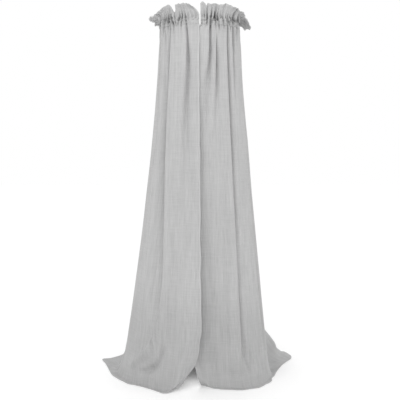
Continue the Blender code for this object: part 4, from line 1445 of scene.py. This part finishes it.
# %% Thread
def thread_material():
    """Cotton thread of the cloth's own grey, a little uneven."""
    material = bpy.data.materials.new("sewing_thread")
    material.use_nodes = True
    tree = material.node_tree
    shader = tree.nodes["Principled BSDF"]
    where = node(tree, "ShaderNodeTexCoord")["Object"]
    noise = node(tree, "ShaderNodeTexNoise", {}, {"Vector": where, "Scale": THREAD_FIBRE})
    fac = noise["Fac"] if "Fac" in noise else noise["Factor"]
    tone = THREAD_GREY + (fac - 0.5) * THREAD_MOTTLE
    grey = node(tree, "ShaderNodeCombineColor", {}, {"Red": tone, "Green": tone, "Blue": tone})
    join(tree, shader.inputs["Base Color"], grey["Color"])
    shader.inputs["Roughness"].default_value = THREAD_ROUGHNESS
    return material


THREAD = thread_material()


# %% Sew along a line
def socket_id(tree, label):
    """Identifier of a tree's input, which a modifier asks for instead of its name."""
    for item in tree.interface.items_tree:
        if item.item_type == "SOCKET" and item.in_out == "INPUT" and item.name == label:
            return item.identifier
    raise KeyError(label)


def sew(name, lines, seed):
    """Stitches along the given lines of points, as one plain mesh."""
    points, edges = [], []
    for line in lines:
        first = len(points)
        points.extend(line.tolist())
        edges.extend((first + i, first + i + 1) for i in range(len(line) - 1))
    path = bpy.data.meshes.new(name + "_path")
    path.from_pydata(points, edges, [])
    guide = bpy.data.objects.new(name + "_path", path)
    bpy.context.scene.collection.objects.link(guide)
    worker = guide.modifiers.new("stitches", "NODES")
    worker.node_group = STITCHES
    worker[socket_id(STITCHES, "Spacing")] = STITCH_SPACING
    worker[socket_id(STITCHES, "Length")] = STITCH_LENGTH
    worker[socket_id(STITCHES, "Thread")] = THREAD_WIDTH
    worker[socket_id(STITCHES, "Seed")] = seed
    worker[socket_id(STITCHES, "Material")] = THREAD
    bpy.context.view_layer.update()
    graph = bpy.context.evaluated_depsgraph_get()
    mesh = bpy.data.meshes.new_from_object(guide.evaluated_get(graph))
    mesh.name = name
    bpy.data.objects.remove(guide, do_unlink=True)
    mesh.shade_smooth()
    piece = put_in_scene(name, mesh)
    print(name + ":", len(mesh.polygons), "faces")
    return piece


# %% Draw the stitch lines and sew them
STITCH_LIFT = 0.0002  # from the cloth's face to the middle of the thread


def lifted(line, normal):
    return line + normal * STITCH_LIFT


drop_normal = grid_normals(drop)
slit_right = lifted(at_distance(drop, STITCH_INSET), drop_normal[:, -6])
slit_left = lifted(at_distance(flipped(drop), STITCH_INSET), drop_normal[:, 5])
foot_line = lifted(at_distance(turned(drop), STITCH_INSET), drop_normal[-4])
frill_normal = grid_normals(frill)
casing_normal = grid_normals(casing)
drop_stitches = sew("drop_stitches", [slit_left[1:], slit_right[1:], foot_line], 5)
upper_line = lifted(casing[1], casing_normal[1])
lower_line = lifted(casing[CASING_ROWS - 2], casing_normal[CASING_ROWS - 2])
casing_stitches = sew("casing_stitches", [upper_line, lower_line], 6)
frill_line = at_distance(turned(np.flip(frill, 0)), STITCH_INSET) - frill_normal[4] * STITCH_LIFT
frill_stitches = sew("frill_stitches", [frill_line], 7)

# %% [markdown]
# ## What the cloth was cut from
#
# Cloth hardly stretches, so each sheet's UV map measures it at about the size of its flat cut.
# The drop is cut in tapered panels: 1.5 m wide in all where they are gathered and 2.3 m at
# the hem. The casing and the frill are strips of the narrower width, and the casing's strip
# goes down the outside and up the inside, so it is twice as wide as the band it makes.

# %% [markdown]
# ## Floor, light and camera
#
# Light falls on the real thing from everywhere, and a little more from the front. Several
# lamps could do that, but a plain white world is softer and simpler: with it go a floor that
# is nearly white and one wide soft light in front and above, which gives the folds their
# shading. Gauze also lets some light through to the floor inside; a small weak lamp under the
# slit stands for it.


# %% Floor
FLOOR_HALF_SIZE = 20.0
FLOOR_WHITE = (0.95, 0.95, 0.95, 1.0)
FLOOR_ROUGHNESS = 0.9
FLOOR_GLOW = 0.06  # the light that a white room sends up from its floor


def make_floor():
    """A wide white floor that belongs to the stage, not to the object."""
    mesh = bpy.data.meshes.new("floor")
    shape = bmesh.new()
    bmesh.ops.create_grid(shape, x_segments=1, y_segments=1, size=FLOOR_HALF_SIZE)
    shape.to_mesh(mesh)
    shape.free()
    floor = bpy.data.objects.new("floor", mesh)
    floor.location = (0.0, 0.0, FLOOR)
    bpy.context.scene.collection.objects.link(floor)
    material = bpy.data.materials.new("floor_white")
    material.use_nodes = True
    shader = material.node_tree.nodes["Principled BSDF"]
    shader.inputs["Base Color"].default_value = FLOOR_WHITE
    shader.inputs["Roughness"].default_value = FLOOR_ROUGHNESS
    shader.inputs["Emission Color"].default_value = (1.0, 1.0, 1.0, 1.0)
    shader.inputs["Emission Strength"].default_value = FLOOR_GLOW
    mesh.materials.append(material)
    return floor


make_floor()


# %% Light
def make_light(name, place_at, aim_at, size, power):
    """A soft rectangular lamp, turned to the place it lights."""
    light = bpy.data.lights.new(name, "AREA")
    light.shape = "RECTANGLE"
    light.size, light.size_y = size
    light.energy = power
    lamp = bpy.data.objects.new(name, light)
    lamp.location = place_at
    way = np.array(aim_at) - np.array(place_at)
    lamp.rotation_mode = "QUATERNION"
    lamp.rotation_quaternion = Vector(way).to_track_quat("-Z", "Y")
    bpy.context.scene.collection.objects.link(lamp)
    return lamp


world = bpy.data.worlds.new("white_room")
world.use_nodes = True
world.node_tree.nodes["Background"].inputs["Color"].default_value = (1.0, 1.0, 1.0, 1.0)
world.node_tree.nodes["Background"].inputs["Strength"].default_value = 1.0
bpy.context.scene.world = world
make_light("key", (-0.25, -1.75, 0.75), (0.0, 0.0, -0.35), (2.8, 0.7), 13.0)
make_light("through_the_gauze", (-0.01, -0.01, FLOOR + 0.10), (-0.01, -0.02, FLOOR),
           (0.06, 0.03), 0.055)
bpy.context.scene.view_settings.view_transform = "Standard"
print("lamps:", ", ".join(sorted(light.name for light in bpy.data.lights)))

# %% Camera
CAMERA_HEIGHT = 0.90  # above the floor
CAMERA_DISTANCE = 2.40
CAMERA_DOWN = 3.76  # degrees
FOCAL_PIXELS = 604.0
PHOTO_PIXELS = 400.0

camera_data = bpy.data.cameras.new("camera")
camera_data.sensor_width = 36.0
camera_data.lens = FOCAL_PIXELS * camera_data.sensor_width / PHOTO_PIXELS
camera = bpy.data.objects.new("camera", camera_data)
camera.location = (0.0, -CAMERA_DISTANCE, FLOOR + CAMERA_HEIGHT)
camera.rotation_euler = (math.radians(90.0 - CAMERA_DOWN), 0.0, 0.0)
bpy.context.scene.collection.objects.link(camera)
bpy.context.scene.camera = camera
print("camera %.2f m over the floor, %.1f mm lens" % (CAMERA_HEIGHT, camera_data.lens))
